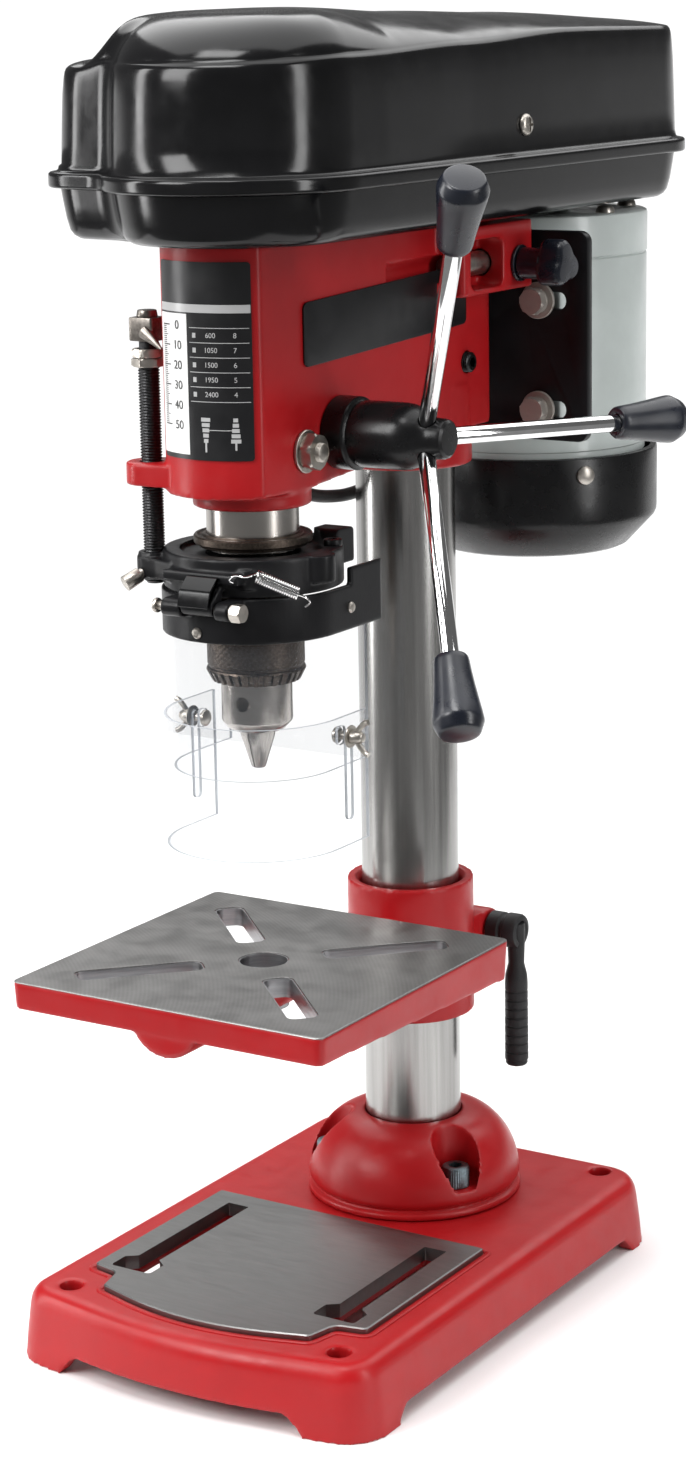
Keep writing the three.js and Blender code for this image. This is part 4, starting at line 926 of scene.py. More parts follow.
def lid():
    plan = cover_plan()
    rim = [(2.2, 521.9), (0.8, 521.9), (0.15, 522.4), (0, 523.2), (0, 526.6), (0.2, 527.6), (0.9, 528.2),
            (2.2, 528.5), (3.6, 528.7), (4.3, 529.3), (4.6, 530.6)]
    rings = [level(inset(plan, d), z) for d, z in rim]
    wall = [(0.064, 0.06), (0.068, 0.25), (0.074, 0.5), (0.080, 0.72), (0.086, 0.84), (0.090, 0.90),
            (0.095, 0.945), (0.102, 0.975), (0.112, 0.993)]
    crown = []
    for k in range(48):
        u = k / 47
        crown.append((0.118 + 0.882 * u ** 1.3, 1 + u ** 1.08))
    rings += [lid_ring(plan, t, rise) for t, rise in wall + crown]
    rings += [lid_ring(plan, min(1, t + 0.03), rise, -2.2) for t, rise in reversed(wall + crown)]
    rings += [level(inset(plan, 7.6), 529), level(inset(plan, 7.4), 521.9)]
    body = torus("lid_shell", rings)
    done(body, BLACK_GLOSS, "lid", "black_gloss", "cover_lid", angle=50)
    knuckle = prism("lid_knuckle", rounded([(-96.5, 516.5, 2.4), (-90.5, 516.5, 1), (-90.5, 522.6, 0),
            (-86, 522.6, 0), (-86, 527, 1), (-96.5, 527, 2.4)], 4), -15, 15, "xz")
    bevel(knuckle, 0.4, 2)
    done(knuckle, BLACK_SATIN, "lid", "black_gloss")
    x = 66 - 5.4
    at = (x, 6, 541)
    screw = lathe("lid_screw", [(0, 0), (4.6, 0), (4.9, 0.5), (4.8, 1.2), (4.0, 2.1), (2.6, 2.7), (0, 2.9)],
            at, (1, 0, 0.02), 48)
    cut(screw, box("s", (x + 1.6, 6 - 3.2, 541 - 0.55), (x + 6, 6 + 3.2, 541 + 0.55)),
        box("s", (x + 1.6, 6 - 0.55, 541 - 3.2), (x + 6, 6 + 0.55, 541 + 3.2)))
    done(screw, BRIGHT, "lid", "steel")


def pulley(name, radii, y, bore, tail, body, node):
    profile = [(bore, tail[0]), (13, tail[0]), (13, tail[1])] if tail else [(bore, 508)]
    for i, r in enumerate(radii):
        z = 508 + i * 10
        profile += [(r + 1.4, z + 0.1), (r + 2, z + 0.6), (r + 2, z + 1.0), (r - 2.8, z + 3.6),
                (r - 2.8, z + 6.4), (r + 2, z + 9.0), (r + 2, z + 9.4), (r + 1.4, z + 9.9)]
    profile.append((bore, 558))
    done(lathe(name, profile, (0, y, 0), seg=96), IRON, body, "iron", node)


def belt_ring(extra, z):
    front, rear = 30 + extra, 26.1 + extra
    lean = math.asin((front - rear) / (MOTOR_Y - SPINDLE_Y))
    a = arc(0, SPINDLE_Y, front, 180 - math.degrees(lean), 360 + math.degrees(lean), 40)
    b = arc(0, MOTOR_Y, rear, math.degrees(lean), 180 - math.degrees(lean), 40)
    return level(dense(a + b, 12), z)


def belt():
    section = [(-2.0, -1.5), (2.0, -3.4), (2.3, -3.1), (2.3, 3.1), (2.0, 3.4), (-2.0, 1.5)]
    rings = [belt_ring(extra, 533 + height) for extra, height in section]
    done(torus("v_belt", rings), RUBBER, "frame", "rubber", "drive_belt")


# ---------------------------------------------------------------- motor
def motor():
    shell = [(0, 379), (54.6, 379), (55.4, 379.6), (55.4, 383.2), (56, 383.8), (56, 474.0), (55.8, 474.4),
            (55.3, 474.6), (55.3, 475.2), (55.8, 475.4), (56.3, 475.8), (56.3, 493.4), (55.9, 494.6),
            (54.8, 495.2), (44, 495.4), (42.5, 494.2), (40, 493.8), (20, 493.8), (18, 495.2), (9, 495.4),
            (8.4, 494.8), (8.4, 480), (0, 480)]
    body = lathe("motor_shell", shell, (0, MOTOR_Y, 0), seg=144)
    done(body, MOTOR_GREY, "motor", "motor_grey", "motor_housing")
    studs = []
    for degrees in (-75, -15, 45, 105, 165, 225):
        t = math.radians(degrees)
        x, y = 48.5 * math.cos(t), MOTOR_Y + 48.5 * math.sin(t)
        studs.append(lathe("s", [(0, 495.2), (4.4, 495.2), (4.6, 495.6), (4.2, 497.4), (3.0, 498.6),
                (0, 499)], (x, y, 0), seg=32))
    done(merge(studs[0], *studs[1:]), BRIGHT, "motor", "steel").name = "motor_end_screws"
    foot = prism("motor_foot", rounded([(-50, 57.4, 1), (50, 57.4, 1), (46, 92, 0), (-46, 92, 0)], 4), 397,
            487)
    cut(foot, upright(0, MOTOR_Y, 390, 500, 54, 96))
    bevel(foot, 1.0, 3)
    done(foot, MOTOR_GREY, "motor", "motor_grey")
    cap = [(0, 331.2), (40, 331.2), (45.0, 331.8), (47.6, 333.0), (60.4, 346.8), (61.3, 348.8), (61.5, 351),
            (61.5, 379.8), (61.0, 380.7), (60.0, 381), (58.4, 381), (58.2, 379), (58.2, 351.4), (46, 336),
            (0, 336)]
    shell = lathe("motor_fan_cap", cap, (0, MOTOR_Y, 0), seg=144)
    slots = []
    for ring_r, count in ((12, 6), (21, 12), (30, 18), (39, 24)):
        for k in range(count):
            t = 2 * math.pi * k / count
            x, y = ring_r * math.cos(t), MOTOR_Y + ring_r * math.sin(t)
            slots.append(upright(x, y, 326, 342, 2.6, 16))
    vents = merge(slots[0], *slots[1:])
    cut(shell, vents, rod("c", (-35, 60, 371), (-35, 90, 371), 3.6, seg=24))
    done(shell, BLACK_CAP, "motor", "black_metal", "motor_end_cap")
    t = math.radians(-37)
    out = Vector((math.cos(t), math.sin(t), 0))
    at = Vector((0, MOTOR_Y, 373)) + out * 61.3
    screw = lathe("cap_screw", [(0, 0), (4.4, 0), (4.6, 0.5), (4.3, 1.4), (3.2, 2.2), (0, 2.6)], at, out,
            40)
    done(screw, BRIGHT, "motor", "steel")
    plate = prism("motor_mount_plate", rect(-67.5, 394, 67.5, 491, 5, 6), 52, 57, "xz")
    for z in (459, 408.5):
        for side in (-1, 1):
            a, b = sorted((side * 36.3, side * 56.3))
            cut(plate, prism("s", rect(a, z - 4, b, z + 4, 3.8, 5), 45, 65, "xz"))
    bevel(plate, 0.6, 2)
    done(plate, BLACK_SATIN, "motor", "black_metal", "motor_plate")
    for i, z in enumerate((459, 408.5)):
        for side in (1, -1):
            x = side * 42.3
            wide = washer(3.3, 8.5, 1.7, (x, 51.8, z), (0, -1, 0))
            narrow = washer(3.3, 5.9, 1.6, (x, 50.0, z), (0, -1, 0))
            head = hexagon("motor_screw_%d_%s" % (i + 1, "r" if side > 0 else "l"), (x, 48.4, z),
                    (x, 43.6, z), 6.6, 0.8, 0.25)
            shank = rod("s", (x, 50, z), (x, 70, z), 2.9, seg=24)
            bolt = merge(head, wide, narrow, shank)
            nodes = ["motor_bolt_%d" % (i + 1)] if side > 0 else []
            done(bolt, BOLT, "motor", "steel", *nodes)
    for side, name in ((1, "right"), (-1, "left")):
        bar = rod("slide_bar_" + name, (side * SLIDE_X, -14, SLIDE_Z), (side * SLIDE_X, 51.7, SLIDE_Z), 5.4,
                seg=48, edge=0.8)
        done(bar, BRIGHT, "motor", "steel", "motor_slide_bar_" + name)
    rotor = merge(rod("rotor_shaft", (0, MOTOR_Y, 372), (0, MOTOR_Y, 556), 6.9, seg=48, edge=0.8),
            upright(0, MOTOR_Y, 415, 465, 31, 64))
    done(rotor, STEEL, "rotor", "steel", "motor_rotor")


def tension_knob():
    def lobes(r, a, along):
        return r * (1 + 0.2 * math.cos(3 * a + 0.9)) if along > 11.5 else r
    knob = lathe("tension_knob_grip", [(0, 46), (6.6, 46), (7.1, 46.5), (7.1, 56.5), (7.4, 57.2),
            (8.6, 57.8), (9.3, 58.8), (9.6, 60), (9.6, 66.5), (9.2, 68.4), (8.0, 69.6), (0, 70)],
            (0, KNOB_Y, KNOB_Z), (1, 0, 0), 96, lambda r, a, x: lobes(r, a, x - 46))
    merge(knob, washer(4.1, 8.3, 1.6, (44.2, KNOB_Y, KNOB_Z)))
    done(knob, NAVY, "knob", "black_plastic")
    stem = rod("tension_knob_stem", (37.2, KNOB_Y, KNOB_Z), (48, KNOB_Y, KNOB_Z), 3.9, seg=32, edge=0.4)
    done(stem, BLACK_STEEL, "knob", "dark_steel", "tension_knob")


def lead():
    route = [(-42, -66, 419.5), (-42, -64, 406), (-40, -52, 388), (-34, -32, 375.5), (-30, -10, 371.5),
            (-30, 14, 371.5), (-32, 40, 371), (-35, 72, 371)]
    body = tube("motor_cable", curve(route, 12), 3.0, 20)
    gland = lathe("g", [(3.1, 0), (5.0, 0), (5.2, 0.6), (4.2, 8), (3.6, 13), (3.1, 13)], (-42, -66, 420.3),
            (0, 0.06, -1), 32)
    done(merge(body, gland), RUBBER, "frame", "rubber", "motor_lead")


# ---------------------------------------------------------------- quill, depth stop, chuck
def quill():
    body = lathe("quill_sleeve", [(16.4, 368.2), (19.6, 368.2), (20, 368.6), (20, 469.6), (19.6, 470),
            (10, 470), (10, 378), (16.4, 378)], seg=128)
    cut(body, box("k", (15.5, -129.4, 405), (22, -120.6, 457)))
    done(body, STEEL, "quill_group", "steel", "quill")
    rings = lathe("quill_clamp_ring", [(20.2, 369.8), (23.4, 369.8), (23.6, 371), (25.2, 371.2),
            (25.6, 371.6), (25.6, 374.2), (25.1, 374.8), (24.0, 374.9), (23.0, 374.3), (22.0, 374.3),
            (21.4, 375.2), (20.2, 375.4)], seg=128)
    done(rings, DARK, "quill_group", "steel", "quill_collar")
    for name, inner, outer, lo, hi, body in (("quill_bearing", 8.9, 15.9, 368.6, 377.6, "quill_group"),
            ("pulley_bearing", 13.3, 20, 480.4, 491.6, "frame")):
        profile = [(inner, lo), (outer - 0.3, lo), (outer, lo + 0.3), (outer, hi), (inner, hi)]
        done(lathe(name + "_race", profile, seg=64), BRIGHT, body, "steel", name)
    shaft = rod("spindle_shaft", (0, SPINDLE_Y, 322), (0, SPINDLE_Y, 555), 8.5, seg=64, edge=0.6)
    done(shaft, STEEL, "spindle_group", "steel", "spindle")


def bracket_guard():
    plan = rounded([(31, -118, 5), (8, -92, 8), (-24, -96, 8), (-34, -126, 6), (-43.4, -141.8, 6.4),
            (-43.4, -156.2, 6.4), (-30, -157.6, 3), (-20, -161, 4), (20, -163, 4), (28, -150, 6)], 8)
    plate = prism("guard_bracket_plate", plan, 357, 365.4)
    merge(plate, lathe("r", [(20, 356), (35, 356), (35.6, 353.0), (38.5, 353.0), (38.8, 353.4),
            (38.8, 368.6), (38.2, 369.3), (20, 369.5)], seg=128), upright(37, -132.5, 357.5, 369.2, 7),
            prism("l", rounded([(-101, 358, 0), (-86.5, 358, 1.5), (-86.5, 373.4, 2.5), (-101, 373.4, 2.5)],
            4), 12, 26, "yz"), box("m", (-19, -169, 359.6), (19.5, -150, 363.6)),
            prism("tongue", rounded([(-176, 346.5, 3.5), (-176, 352, 3.5), (-165, 361, 2), (-154, 361, 0),
            (-154, 357.2, 0), (-167, 357.2, 2), (-168.3, 346.5, 3)], 5), -5, 11, "yz"),
            upright(DEPTH_X, DEPTH_Y, 355.6, 367.4, 7))
    cutters = [
        upright(0, SPINDLE_Y, 340, 390, 20.4, 96),
        upright(DEPTH_X, DEPTH_Y, 340, 390, 4.5, 32),
        lathe("recess", [(0, 366.6), (30.5, 366.6), (31.5, 367.4), (31.8, 380), (0, 380)], seg=96),
        across(-30, 30, HINGE_Y, HINGE_Z, 2.2, 24),
    ]
    cast(plate, cutters, 0.6, 2)
    done(plate, BLACK_SATIN, "quill_group", "black_metal", "guard_bracket")
    pieces = []
    for x, y, z in ((-31, -112, 369.3), (31, -112, 369.3), (-6, -93.5, 369.3)):
        s = rod("s", (x, y, z - 0.4), (x, y, z + 2.6), 4.1, seg=40, edge=0.5)
        cut(s, prism("h", arc(x, y, 2.1, 0, 300, 5), z + 0.8, z + 5))
        pieces.append(s)
    done(merge(pieces[0], *pieces[1:]), BLACK_STEEL, "quill_group", "dark_steel").name = "bracket_screws"
    flap = prism("latch_flap", rounded([(-177.6, 350.5, 0.5), (-178.4, 351, 0.5), (-176.6, 357.5, 3),
            (-170.2, 363.2, 1.5), (-169.2, 362.4, 0.6), (-175.6, 357, 3)], 5), -4.6, 10.6, "yz")
    bevel(flap, 0.2, 1)
    done(flap, BLACK_GLOSS, "quill_group", "black_metal")


def depth_stop():
    profile = [(0, 353.6), (3.5, 353.6), (3.9, 354.2)]
    z = 354.4
    while z < 446:
        profile += [(4.1, z), (4.7, z + 0.45), (4.7, z + 0.65), (4.1, z + 1.1)]
        z += 1.25
    profile += [(3.9, 446.4), (3.9, 468.2), (3.3, 469), (0, 469)]
    thread = lathe("depth_screw", profile, (DEPTH_X, DEPTH_Y, 0), seg=40)
    done(thread, BLACK_STEEL, "quill_group", "dark_steel", "depth_rod", angle=60)
    x, y = DEPTH_X, DEPTH_Y
    pointer = prism("depth_pointer_block", rect(x - 6.3, y - 5.6, x + 6.3, y + 5.6, 1.5), 457.6, 467.6)
    cut(pointer, upright(x, y, 440, 480, 4.4, 32))
    bevel(pointer, 0.5, 2)
    tip = rod("t", (x + 2, y - 4, 461.5), (x + 12.5, y - 8.0, 455.2), 3.4, 0.5, 24)
    grip = rod("g", (x, y, 467.4), (x, y, 470.6), 4.6, 4.2, 32, 0.5)
    done(merge(pointer, tip, grip), STEEL_GREY, "quill_group", "dark_steel", "depth_pointer")
    for name, z, turn in (("upper", 450.7, 0.2), ("lower", 446.7, 0.45)):
        nut = hexagon("stop_nut_" + name, (x, y, z), (x, y, z + 3.6), 7.4, 0.5, turn)
        cut(nut, upright(x, y, 440, 470, 4.8, 32))
        done(nut, BRIGHT, "depth_stop", "chrome", "depth_stop_nut_" + name)
    screw = merge(rod("rod_clamp_screw", (x - 1, y - 5, 359.5), (x - 3.5, y - 9, 357.2), 2.2, seg=24,
            edge=0.3), rod("t", (x - 2.6, y - 7.6, 358), (x - 6.4, y - 13.8, 354.4), 3.3, 3.5, 32, 0.5))
    done(screw, BRIGHT, "quill_group", "steel")


def wing(at, direction, size=1.0):
    """The two ears of a wing nut, with its hub."""
    at, axis = Vector(at), Vector(direction).normalized()
    basis = frame_of(axis)
    hub = lathe("hub", [(0, -1.0), (3.6 * size, -1.0), (3.8 * size, -0.5), (3.1 * size, 4 * size),
            (2.2 * size, 5 * size), (0, 5 * size)], at, axis, 32)
    ears = []
    for sign in (-1, 1):
        path = [(0, sign * 2.0, 1.5), (0, sign * 5.0, 3.6), (0, sign * 7.6, 6.2), (0, sign * 8.6, 8.4)]
        pts = [at + basis @ (Vector(p) * size) for p in path]
        ear = tube("ear", curve(pts, 5), 1.5 * size, 14)
        ears.append(ear)
    return merge(hub, *ears)


def hinge_pin():
    pin = merge(rod("guard_pivot_pin", (-18.5, HINGE_Y, HINGE_Z), (21, HINGE_Y, HINGE_Z), 1.95, seg=32,
            edge=0.3), hexagon("h", (19.2, HINGE_Y, HINGE_Z), (24.4, HINGE_Y, HINGE_Z), 4.2, 0.6),
            rod("k", (-20.4, HINGE_Y, HINGE_Z), (-18.4, HINGE_Y, HINGE_Z), 3.2, seg=32, edge=0.6))
    done(pin, BRIGHT, "quill_group", "chrome", "guard_hinge_pin")


def chuck():
    y = SPINDLE_Y
    body = lathe("chuck_core", [(0, 288.2), (10.6, 288.2), (12.4, 289.0), (15.2, 292.2), (15.5, 293.2),
            (15.5, 311.6), (18.9, 312.2), (18.9, 349.4), (18.2, 350.2), (8.9, 350.2), (8.9, 322), (0, 322)],
            seg=128)
    holes = []
    for k in range(3):
        t = math.radians(-80.7 + 120 * k)
        holes.append(rod("k", (9 * math.cos(t), y + 9 * math.sin(t), 302),
                (20 * math.cos(t), y + 20 * math.sin(t), 302), 3.3, seg=32))
    for k in range(3):
        holes.append(rod("w", jaw_point(k, 260), jaw_point(k, 297), 3.6, seg=32))
    cut(body, *holes)
    bevel(body, 0.25, 1, 40)
    done(body, STEEL, "spindle_group", "steel", "chuck_body")
    for k in range(3):
        jaw = jaw_sector(k)
        bevel(jaw, 0.25, 1, 40)
        done(jaw, STEEL, "jaw_%d" % (k + 1), "steel", "chuck_jaw_%d" % (k + 1))
    profile = [(19.3, 311.5), (16.2, 311.5), (16.2, 310.6), (17.6, 310.5)]
    teeth_low, teeth_high = 310.7, 315.6
    for k in range(6):
        profile.append((19.2 + 0.5 * k, teeth_low + (teeth_high - teeth_low) * k / 5))
    profile += [(21.5, 316.0), (21.3, 316.5), (20.6, 316.9), (20.6, 317.8), (21.1, 318.2)]
    rows = 46
    for k in range(rows + 1):
        profile.append((21.2, 318.6 + 24.4 * k / rows))
    profile += [(21.0, 343.6), (20.5, 344.0), (20.5, 345.0), (21.0, 345.4), (21.0, 351.6), (20.4, 352.8),
            (19.6, 353.2), (19.3, 353.2)]

    def ring(r, a, z):
        if 318.5 < z < 343.1:
            u = (a * 42 + (z - 318.6) * 2.3) / (2 * math.pi)
            v = (a * 42 - (z - 318.6) * 2.3) / (2 * math.pi)
            ridge = max(abs((u % 1) - 0.5), abs((v % 1) - 0.5))
            return r - 0.55 * max(0.0, ridge * 2 - 0.62)
        if 310.65 < z < 315.7 and r > 18:
            return r - 1.3 * (1 if (a * 30 / (2 * math.pi)) % 1 > 0.5 else 0)
        return r
    sleeve = lathe("chuck_sleeve_ring", profile, seg=360, ring=ring)
    done(sleeve, DARK, "sleeve", "dark_steel", "chuck_sleeve", angle=30)


def jaw_sector(k):
    """One third of the cone that the three closed jaws make."""
    cone = lathe("jaw_%d" % (k + 1), [(0, 271), (2.7, 271), (3.2, 271.5), (7.4, 285), (8.2, 290), (0, 290)],
            seg=96)
    t = math.radians(90 + 120 * k)
    points = [(0.25 * math.cos(t), SPINDLE_Y + 0.25 * math.sin(t))]
    points += [(30 * math.cos(t + d), SPINDLE_Y + 30 * math.sin(t + d)) for d in (-1.03, -0.5, 0, 0.5,
            1.03)]
    return combine(cone, prism("sector", points, 260, 310), "INTERSECT")


def jaw_point(k, z):
    t = math.radians(90 + 120 * k)
    r = 3 + 0.33 * (z - 271)
    return (r * math.cos(t), SPINDLE_Y + r * math.sin(t), z)


# ---------------------------------------------------------------- guard
def u_plan(outer, inner, rear, steps=48):
    y = SPINDLE_Y
    return ([(-outer, rear)] + arc(0, y, outer, -180, 0, steps) + [(outer, rear), (inner, rear)]
            + arc(0, y, inner, 0, -180, steps) + [(-inner, rear)])


def frost_edges(sheet):
    """The sawn edges of a clear sheet are paler than its faces."""
    sheet.data.materials.append(CLEAR_EDGE)
    centre = Vector((OFFSET.x, OFFSET.y + SPINDLE_Y / 1000))
    for face in sheet.data.polygons:
        out = Vector(face.center[:2]) - centre
        if face.center.y > centre.y:
            out = Vector((out.x, 0))
        if abs(out.normalized().dot(Vector(face.normal[:2]))) < 0.6:
            face.material_index = 1


def guard():
    band = prism("guard_band_shell", u_plan(40, 37.35, -87), 333.2, 352.8)
    tails = prism("t", u_plan(40, 37.35, -87), 339.5, 360)
    cut(tails, box("x", (-60, -200, 300), (60, -112, 400)))
    knuckle = rounded([(-176, 345, 3.9), (-176, 353, 3.9), (-163, 353, 0), (-163, 345, 0)], 8)
    merge(band, tails, prism("k", knuckle, -15.5, -5.5, "yz"), prism("k", knuckle, 11.5, 18.5, "yz"))
    cutters = [upright(0, SPINDLE_Y, 300, 400, 37.3, 160),
            box("c", (-5.3, -181, 345.9), (11.3, -158, 361)),
            across(-30, 30, HINGE_Y, HINGE_Z, 2.2, 24),
            box("c", (-37, -130, 325), (37, -70, 365))]
    cast(band, cutters, 0.6, 2)
    done(band, BLACK_SATIN, "guard", "black_metal", "guard_band")
    screws = []
    for at, out in ((Vector((-2.8, SPINDLE_Y - 39.7, 337.5)), (-0.07, -1, 0)),
            (Vector((39.9, -113, 343)), (1, 0, 0))):
        screws.append(lathe("s", [(0, 0), (2.4, 0), (2.4, 0.7), (1.8, 1.4), (0, 1.7)], at, out, 28))
    done(merge(screws[0], *screws[1:]), BRIGHT, "guard", "chrome").name = "band_screws"
    upper = prism("upper_shield", u_plan(37, 35.4, -95, 64), 273, 345)
    cut(upper, prism("s", rect(-120, 283, -114, 291, 1.9), -60, 60, "yz"))
    bevel(upper, 0.35, 2, 40)
    done(upper, CLEAR, "guard", "clear", "guard_shield")
    frost_edges(upper)
    lower = prism("lower_shield_sheet", u_plan(41, 39.3, -102, 64), 238.6, 296.6)
    cut(lower, prism("s", rect(-119.4, 250, -114.6, 290, 2.2, 5), -60, 60, "yz"))
    bevel(lower, 0.35, 2, 40)
    done(lower, CLEAR, "guard_lower", "clear", "lower_shield")
    frost_edges(lower)
    for side, name in ((1, "right"), (-1, "left")):
        axis = (side, 0, 0)
        screw = rod("shield_screw_" + name, (side * 33.2, SHIELD_Y, SHIELD_Z),
                (side * 48, SHIELD_Y, SHIELD_Z), 1.9, seg=24, edge=0.3)
        head = lathe("h", [(0, 0), (3.6, 0), (3.6, 1.2), (2.6, 2.0), (0, 2.2)],
                (side * 35.2, SHIELD_Y, SHIELD_Z), (-side, 0, 0), 28)
        washer = lathe("w", [(2.1, 0), (4.8, 0), (5.0, 0.3), (4.8, 0.9), (2.1, 0.9)],
                (side * 41.1, SHIELD_Y, SHIELD_Z), axis, 36)
        done(merge(screw, head, washer, wing((side * 43.2, SHIELD_Y, SHIELD_Z), axis, 0.85)), BRIGHT,
                "guard", "steel")
    spring = coil("guard_return_spring", (25.5, -163.6, 363.7), (40.6, -154.6, 356.0), 2.75, 0.42, 19)
    hooks = [tube("h", curve([(17.5, -168.6, 361), (17, -171, 362.4), (19.4, -170.4, 364.6),
            (22.4, -167, 363.6), (25.6, -163.4, 364.6)], 6), 0.42, 8),
            tube("h", curve([(40.6, -154.6, 355.6), (43.0, -152.6, 354.2), (43.0, -149.8, 351.6),
            (40.6, -149.6, 349.6)], 6), 0.42, 8)]
    done(merge(spring, *hooks), CHROME, "quill_group", "chrome", "guard_spring")


# ---------------------------------------------------------------- feed handle
ROD_ANGLES = (-2, 118, 238)


def rod_point(k, r):
    t = math.radians(ROD_ANGLES[k])
    return Vector((69.5 + 0.433 * r, FEED_Y + r * math.cos(t), FEED_Z + r * math.sin(t)))


def feed():
    at = (0, FEED_Y, FEED_Z)
    hub = lathe("feed_hub_body", [(5.8, 27.0), (15.0, 27.0), (15.8, 27.5), (15.8, 37.2), (15.4, 37.9),
            (14.6, 38.2), (14.0, 38.6), (14.2, 39.4), (14.4, 44), (14.4, 60), (14.0, 63.5), (12.8, 67),
            (10.8, 70), (9.3, 72.4), (8.8, 75), (8.6, 79.6), (8.1, 81), (6.9, 81.9), (0, 82.1), (0, 60),
            (5.8, 60)], at, (1, 0, 0), 128)
    cut(hub, *[rod("c", rod_point(k, 6.2), rod_point(k, 32), 4.0, seg=32) for k in range(3)])
    done(hub, BLACK_CAP, "feed_handle", "black_metal", "feed_hub", angle=28)
    shaft = merge(rod("pinion_arbor", (-38, FEED_Y, FEED_Z), (-24, FEED_Y, FEED_Z), 5, seg=32, edge=0.4),
            lathe("p", [(0, -24.4), (7, -24.4), (7, 25), (5.5, 25), (5.5, 59.4), (0, 59.4)], at, (1, 0, 0),
            96, lambda r, a, x: r + (0.55 * math.cos(12 * a) - 0.55 if r > 6.9 else 0)))
    done(shaft, STEEL, "feed_handle", "steel", "pinion_shaft")
    for k in range(3):
        a, b = rod_point(k, 6.9), rod_point(k, 112)
        bar = rod("feed_arm_%d" % (k + 1), a, b, 3.8, seg=64, edge=0.3)
        done(bar, CHROME, "feed_handle", "chrome", "feed_rod_%d" % (k + 1))
        start = rod_point(k, 95.5)
        axis = (rod_point(k, 130) - start).normalized()
        profile = [(4.0, 0.4), (5.4, 0), (6.6, 0.3), (7.2, 1.2), (7.5, 3), (7.9, 8), (8.6, 14), (9.4, 20),
                (10.2, 25.5), (10.6, 29), (10.6, 30.0), (10.3, 30.8), (9.0, 34.0), (8.5, 34.8), (7.6, 35.2),
                (0, 35.5), (0, 20), (4.0, 20)]
        knob = lathe("feed_grip_%d" % (k + 1), profile, start, axis, 96)
        done(knob, NAVY, "feed_handle", "black_plastic", "feed_knob_%d" % (k + 1))


# ---------------------------------------------------------------- left side
def left_side():
    at = (0, FEED_Y, FEED_Z)
    cap = lathe("spring_cap", [(17.6, 25.4), (19.6, 25.4), (20, 25.8), (20, 37.6), (19.6, 39.2),
            (18.6, 40.3), (17.2, 40.8), (13, 41), (12.6, 40.4), (8.2, 40.4), (7.8, 41), (5.9, 41),
            (5.9, 38.8), (17.6, 38.8)], at, (-1, 0, 0), 96)
    done(cap, BLACK_SATIN, "frame", "black_metal", "return_spring_cap")
    nut = hexagon("spring_cap_nut", (-41.2, FEED_Y, FEED_Z), (-45.4, FEED_Y, FEED_Z), 7.2, 0.7)
    cut(nut, across(-60, -30, FEED_Y, FEED_Z, 2.6, 24))
    done(nut, BRIGHT, "feed_handle", "steel")
    box_body = prism("switch_housing", rect(-76, 420, -31, 476, 3, 6), -51, -30.8, "yz")
    for y in (-63, -43):
        cut(box_body, prism("b", rect(y - 7, 437, y + 7, 459, 1.5), -60, -41, "yz"))
    bevel(box_body, 1.0, 3)
    back = box("b", (-31, -72, 424), (-25.3, -32, 472))
    done(merge(box_body, back), BLACK_SATIN, "frame", "black_plastic", "switch_box")
    plate = prism("switch_plate", rect(-74, 461, -33, 472, 1.5), -51.5, -51.0, "yz")
    done(plate, GREY_PRINT, "frame", "black_plastic")
    for name, y, material, slot in (("start", -63, GREEN, "green_plastic"),
            ("stop", -43, RED_BUTTON, "red_plastic")):
        b = prism(name + "_key", rect(y - 6.2, 437.8, y + 6.2, 458.2, 1.4),
                -54, -45, "yz")
        bevel(b, 0.8, 3)
        done(b, material, name, slot, name + "_button")


base()
flange()
column()
bracket()
clamp_lever()
table()
head()
head_label()
side_plate()
housing()
lid()
pulley("front_step_pulley", [39.5, 35, 30, 25.7, 19.4], SPINDLE_Y, 9.2, (478, 508), "front_pulley",
        "spindle_pulley")
pulley("rear_step_pulley", [16.4, 21.2, 26.1, 30.3, 36.6], MOTOR_Y, 7.3, None, "rotor", "motor_pulley")
belt()
motor()
tension_knob()
lead()
quill()
bracket_guard()
depth_stop()
hinge_pin()
chuck()
guard()
feed()
left_side()
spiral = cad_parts["return_spring"]
spiral.data.materials.clear()
spiral.data.materials.append(DARK)


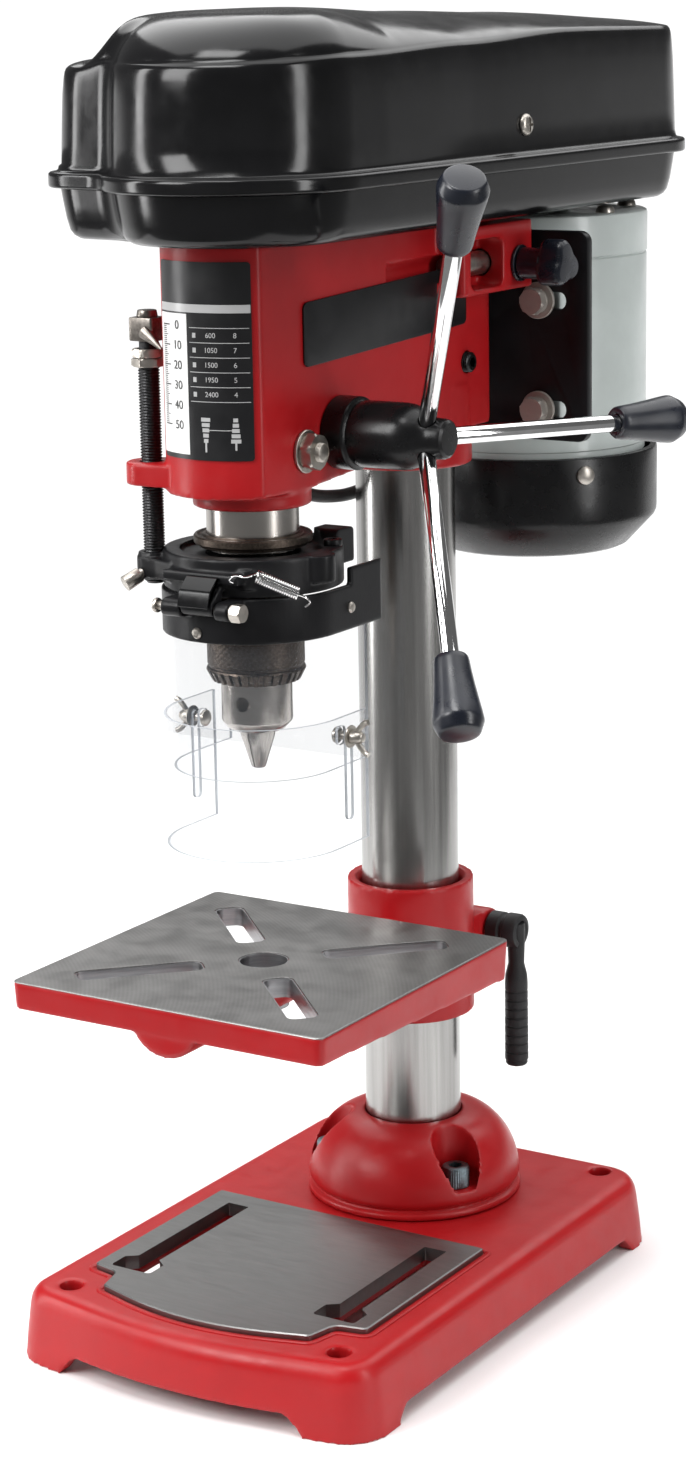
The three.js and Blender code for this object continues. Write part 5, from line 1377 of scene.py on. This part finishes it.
# ---------------------------------------------------------------- floor and light
def studio():
    n = Nodes("floor")
    n.base(n.mix(n.ramp(n.noise(3, 2), 0, 1), (0.88, 0.88, 0.88, 1), (0.9, 0.9, 0.9, 1)))
    n.fixed(Roughness=0.6)
    corners = [(-0.95, -0.42), (0.55, -0.42), (0.55, 0.85), (-0.95, 0.85)]
    floor = new("floor", [(x, y, -0.0002) for x, y in corners], [(0, 1, 2, 3)])
    floor.data.materials.append(n.mat)
    world = bpy.data.worlds.new("studio")
    world.use_nodes = True
    tree = world.node_tree
    sky = tree.nodes["Background"]
    place = tree.nodes.new("ShaderNodeTexCoord")
    split = tree.nodes.new("ShaderNodeSeparateXYZ")
    tree.links.new(place.outputs["Generated"], split.inputs[0])
    def ramp(value, start, end, low, high):
        node = tree.nodes.new("ShaderNodeMapRange")
        node.interpolation_type = "SMOOTHSTEP"
        for key, number in (("From Min", start), ("From Max", end), ("To Min", low), ("To Max", high)):
            node.inputs[key].default_value = number
        tree.links.new(value, node.inputs["Value"])
        return node.outputs["Result"]

    def calculate(operation, a, b):
        node = tree.nodes.new("ShaderNodeMath")
        node.operation = operation
        tree.links.new(a, node.inputs[0])
        if isinstance(b, bpy.types.NodeSocket):
            tree.links.new(b, node.inputs[1])
        else:
            node.inputs[1].default_value = b
        return node.outputs[0]

    below = ramp(split.outputs["Z"], -0.005, 0.05, 1, 0)
    x = calculate("MULTIPLY", split.outputs["X"], -0.535)
    y = calculate("MULTIPLY", split.outputs["Y"], 0.845)
    behind = ramp(calculate("ADD", x, y), 0.35, 0.7, 0, 1)
    white = calculate("MULTIPLY", calculate("MULTIPLY", below, behind), 0.85)
    above = ramp(split.outputs["Z"], -0.005, 0.15, 0.24, 0.13)
    tree.links.new(calculate("ADD", white, above), sky.inputs["Strength"])
    sky.inputs["Color"].default_value = (1, 1, 1, 1)
    scene.world = world
    scene.view_settings.view_transform = "Standard"
    aim = Vector((0, 0, 0.3))
    for name, spot, size, power in (
            ("key", (-0.75, -1.6, 1.35), (0.8, 1.0), 30),
            ("right", (2.0, -0.2, 0.9), (0.35, 1.8), 20),
            ("left", (-1.6, -0.9, 0.7), (0.3, 1.6), 16),
            ("top", (0.0, -0.9, 2.1), (0.9, 0.45), 16),
            ("floor wash", (-0.3, 1.0, 2.8), (4.5, 4.5), 150)):
        data = bpy.data.lights.new(name, "AREA")
        data.shape = "RECTANGLE"
        data.size, data.size_y = size
        data.energy = power
        lamp = bpy.data.objects.new(name, data)
        scene.collection.objects.link(lamp)
        lamp.location = spot
        lamp.rotation_mode = "QUATERNION"
        lamp.rotation_quaternion = (aim - Vector(spot)).to_track_quat("-Z", "Y")


studio()
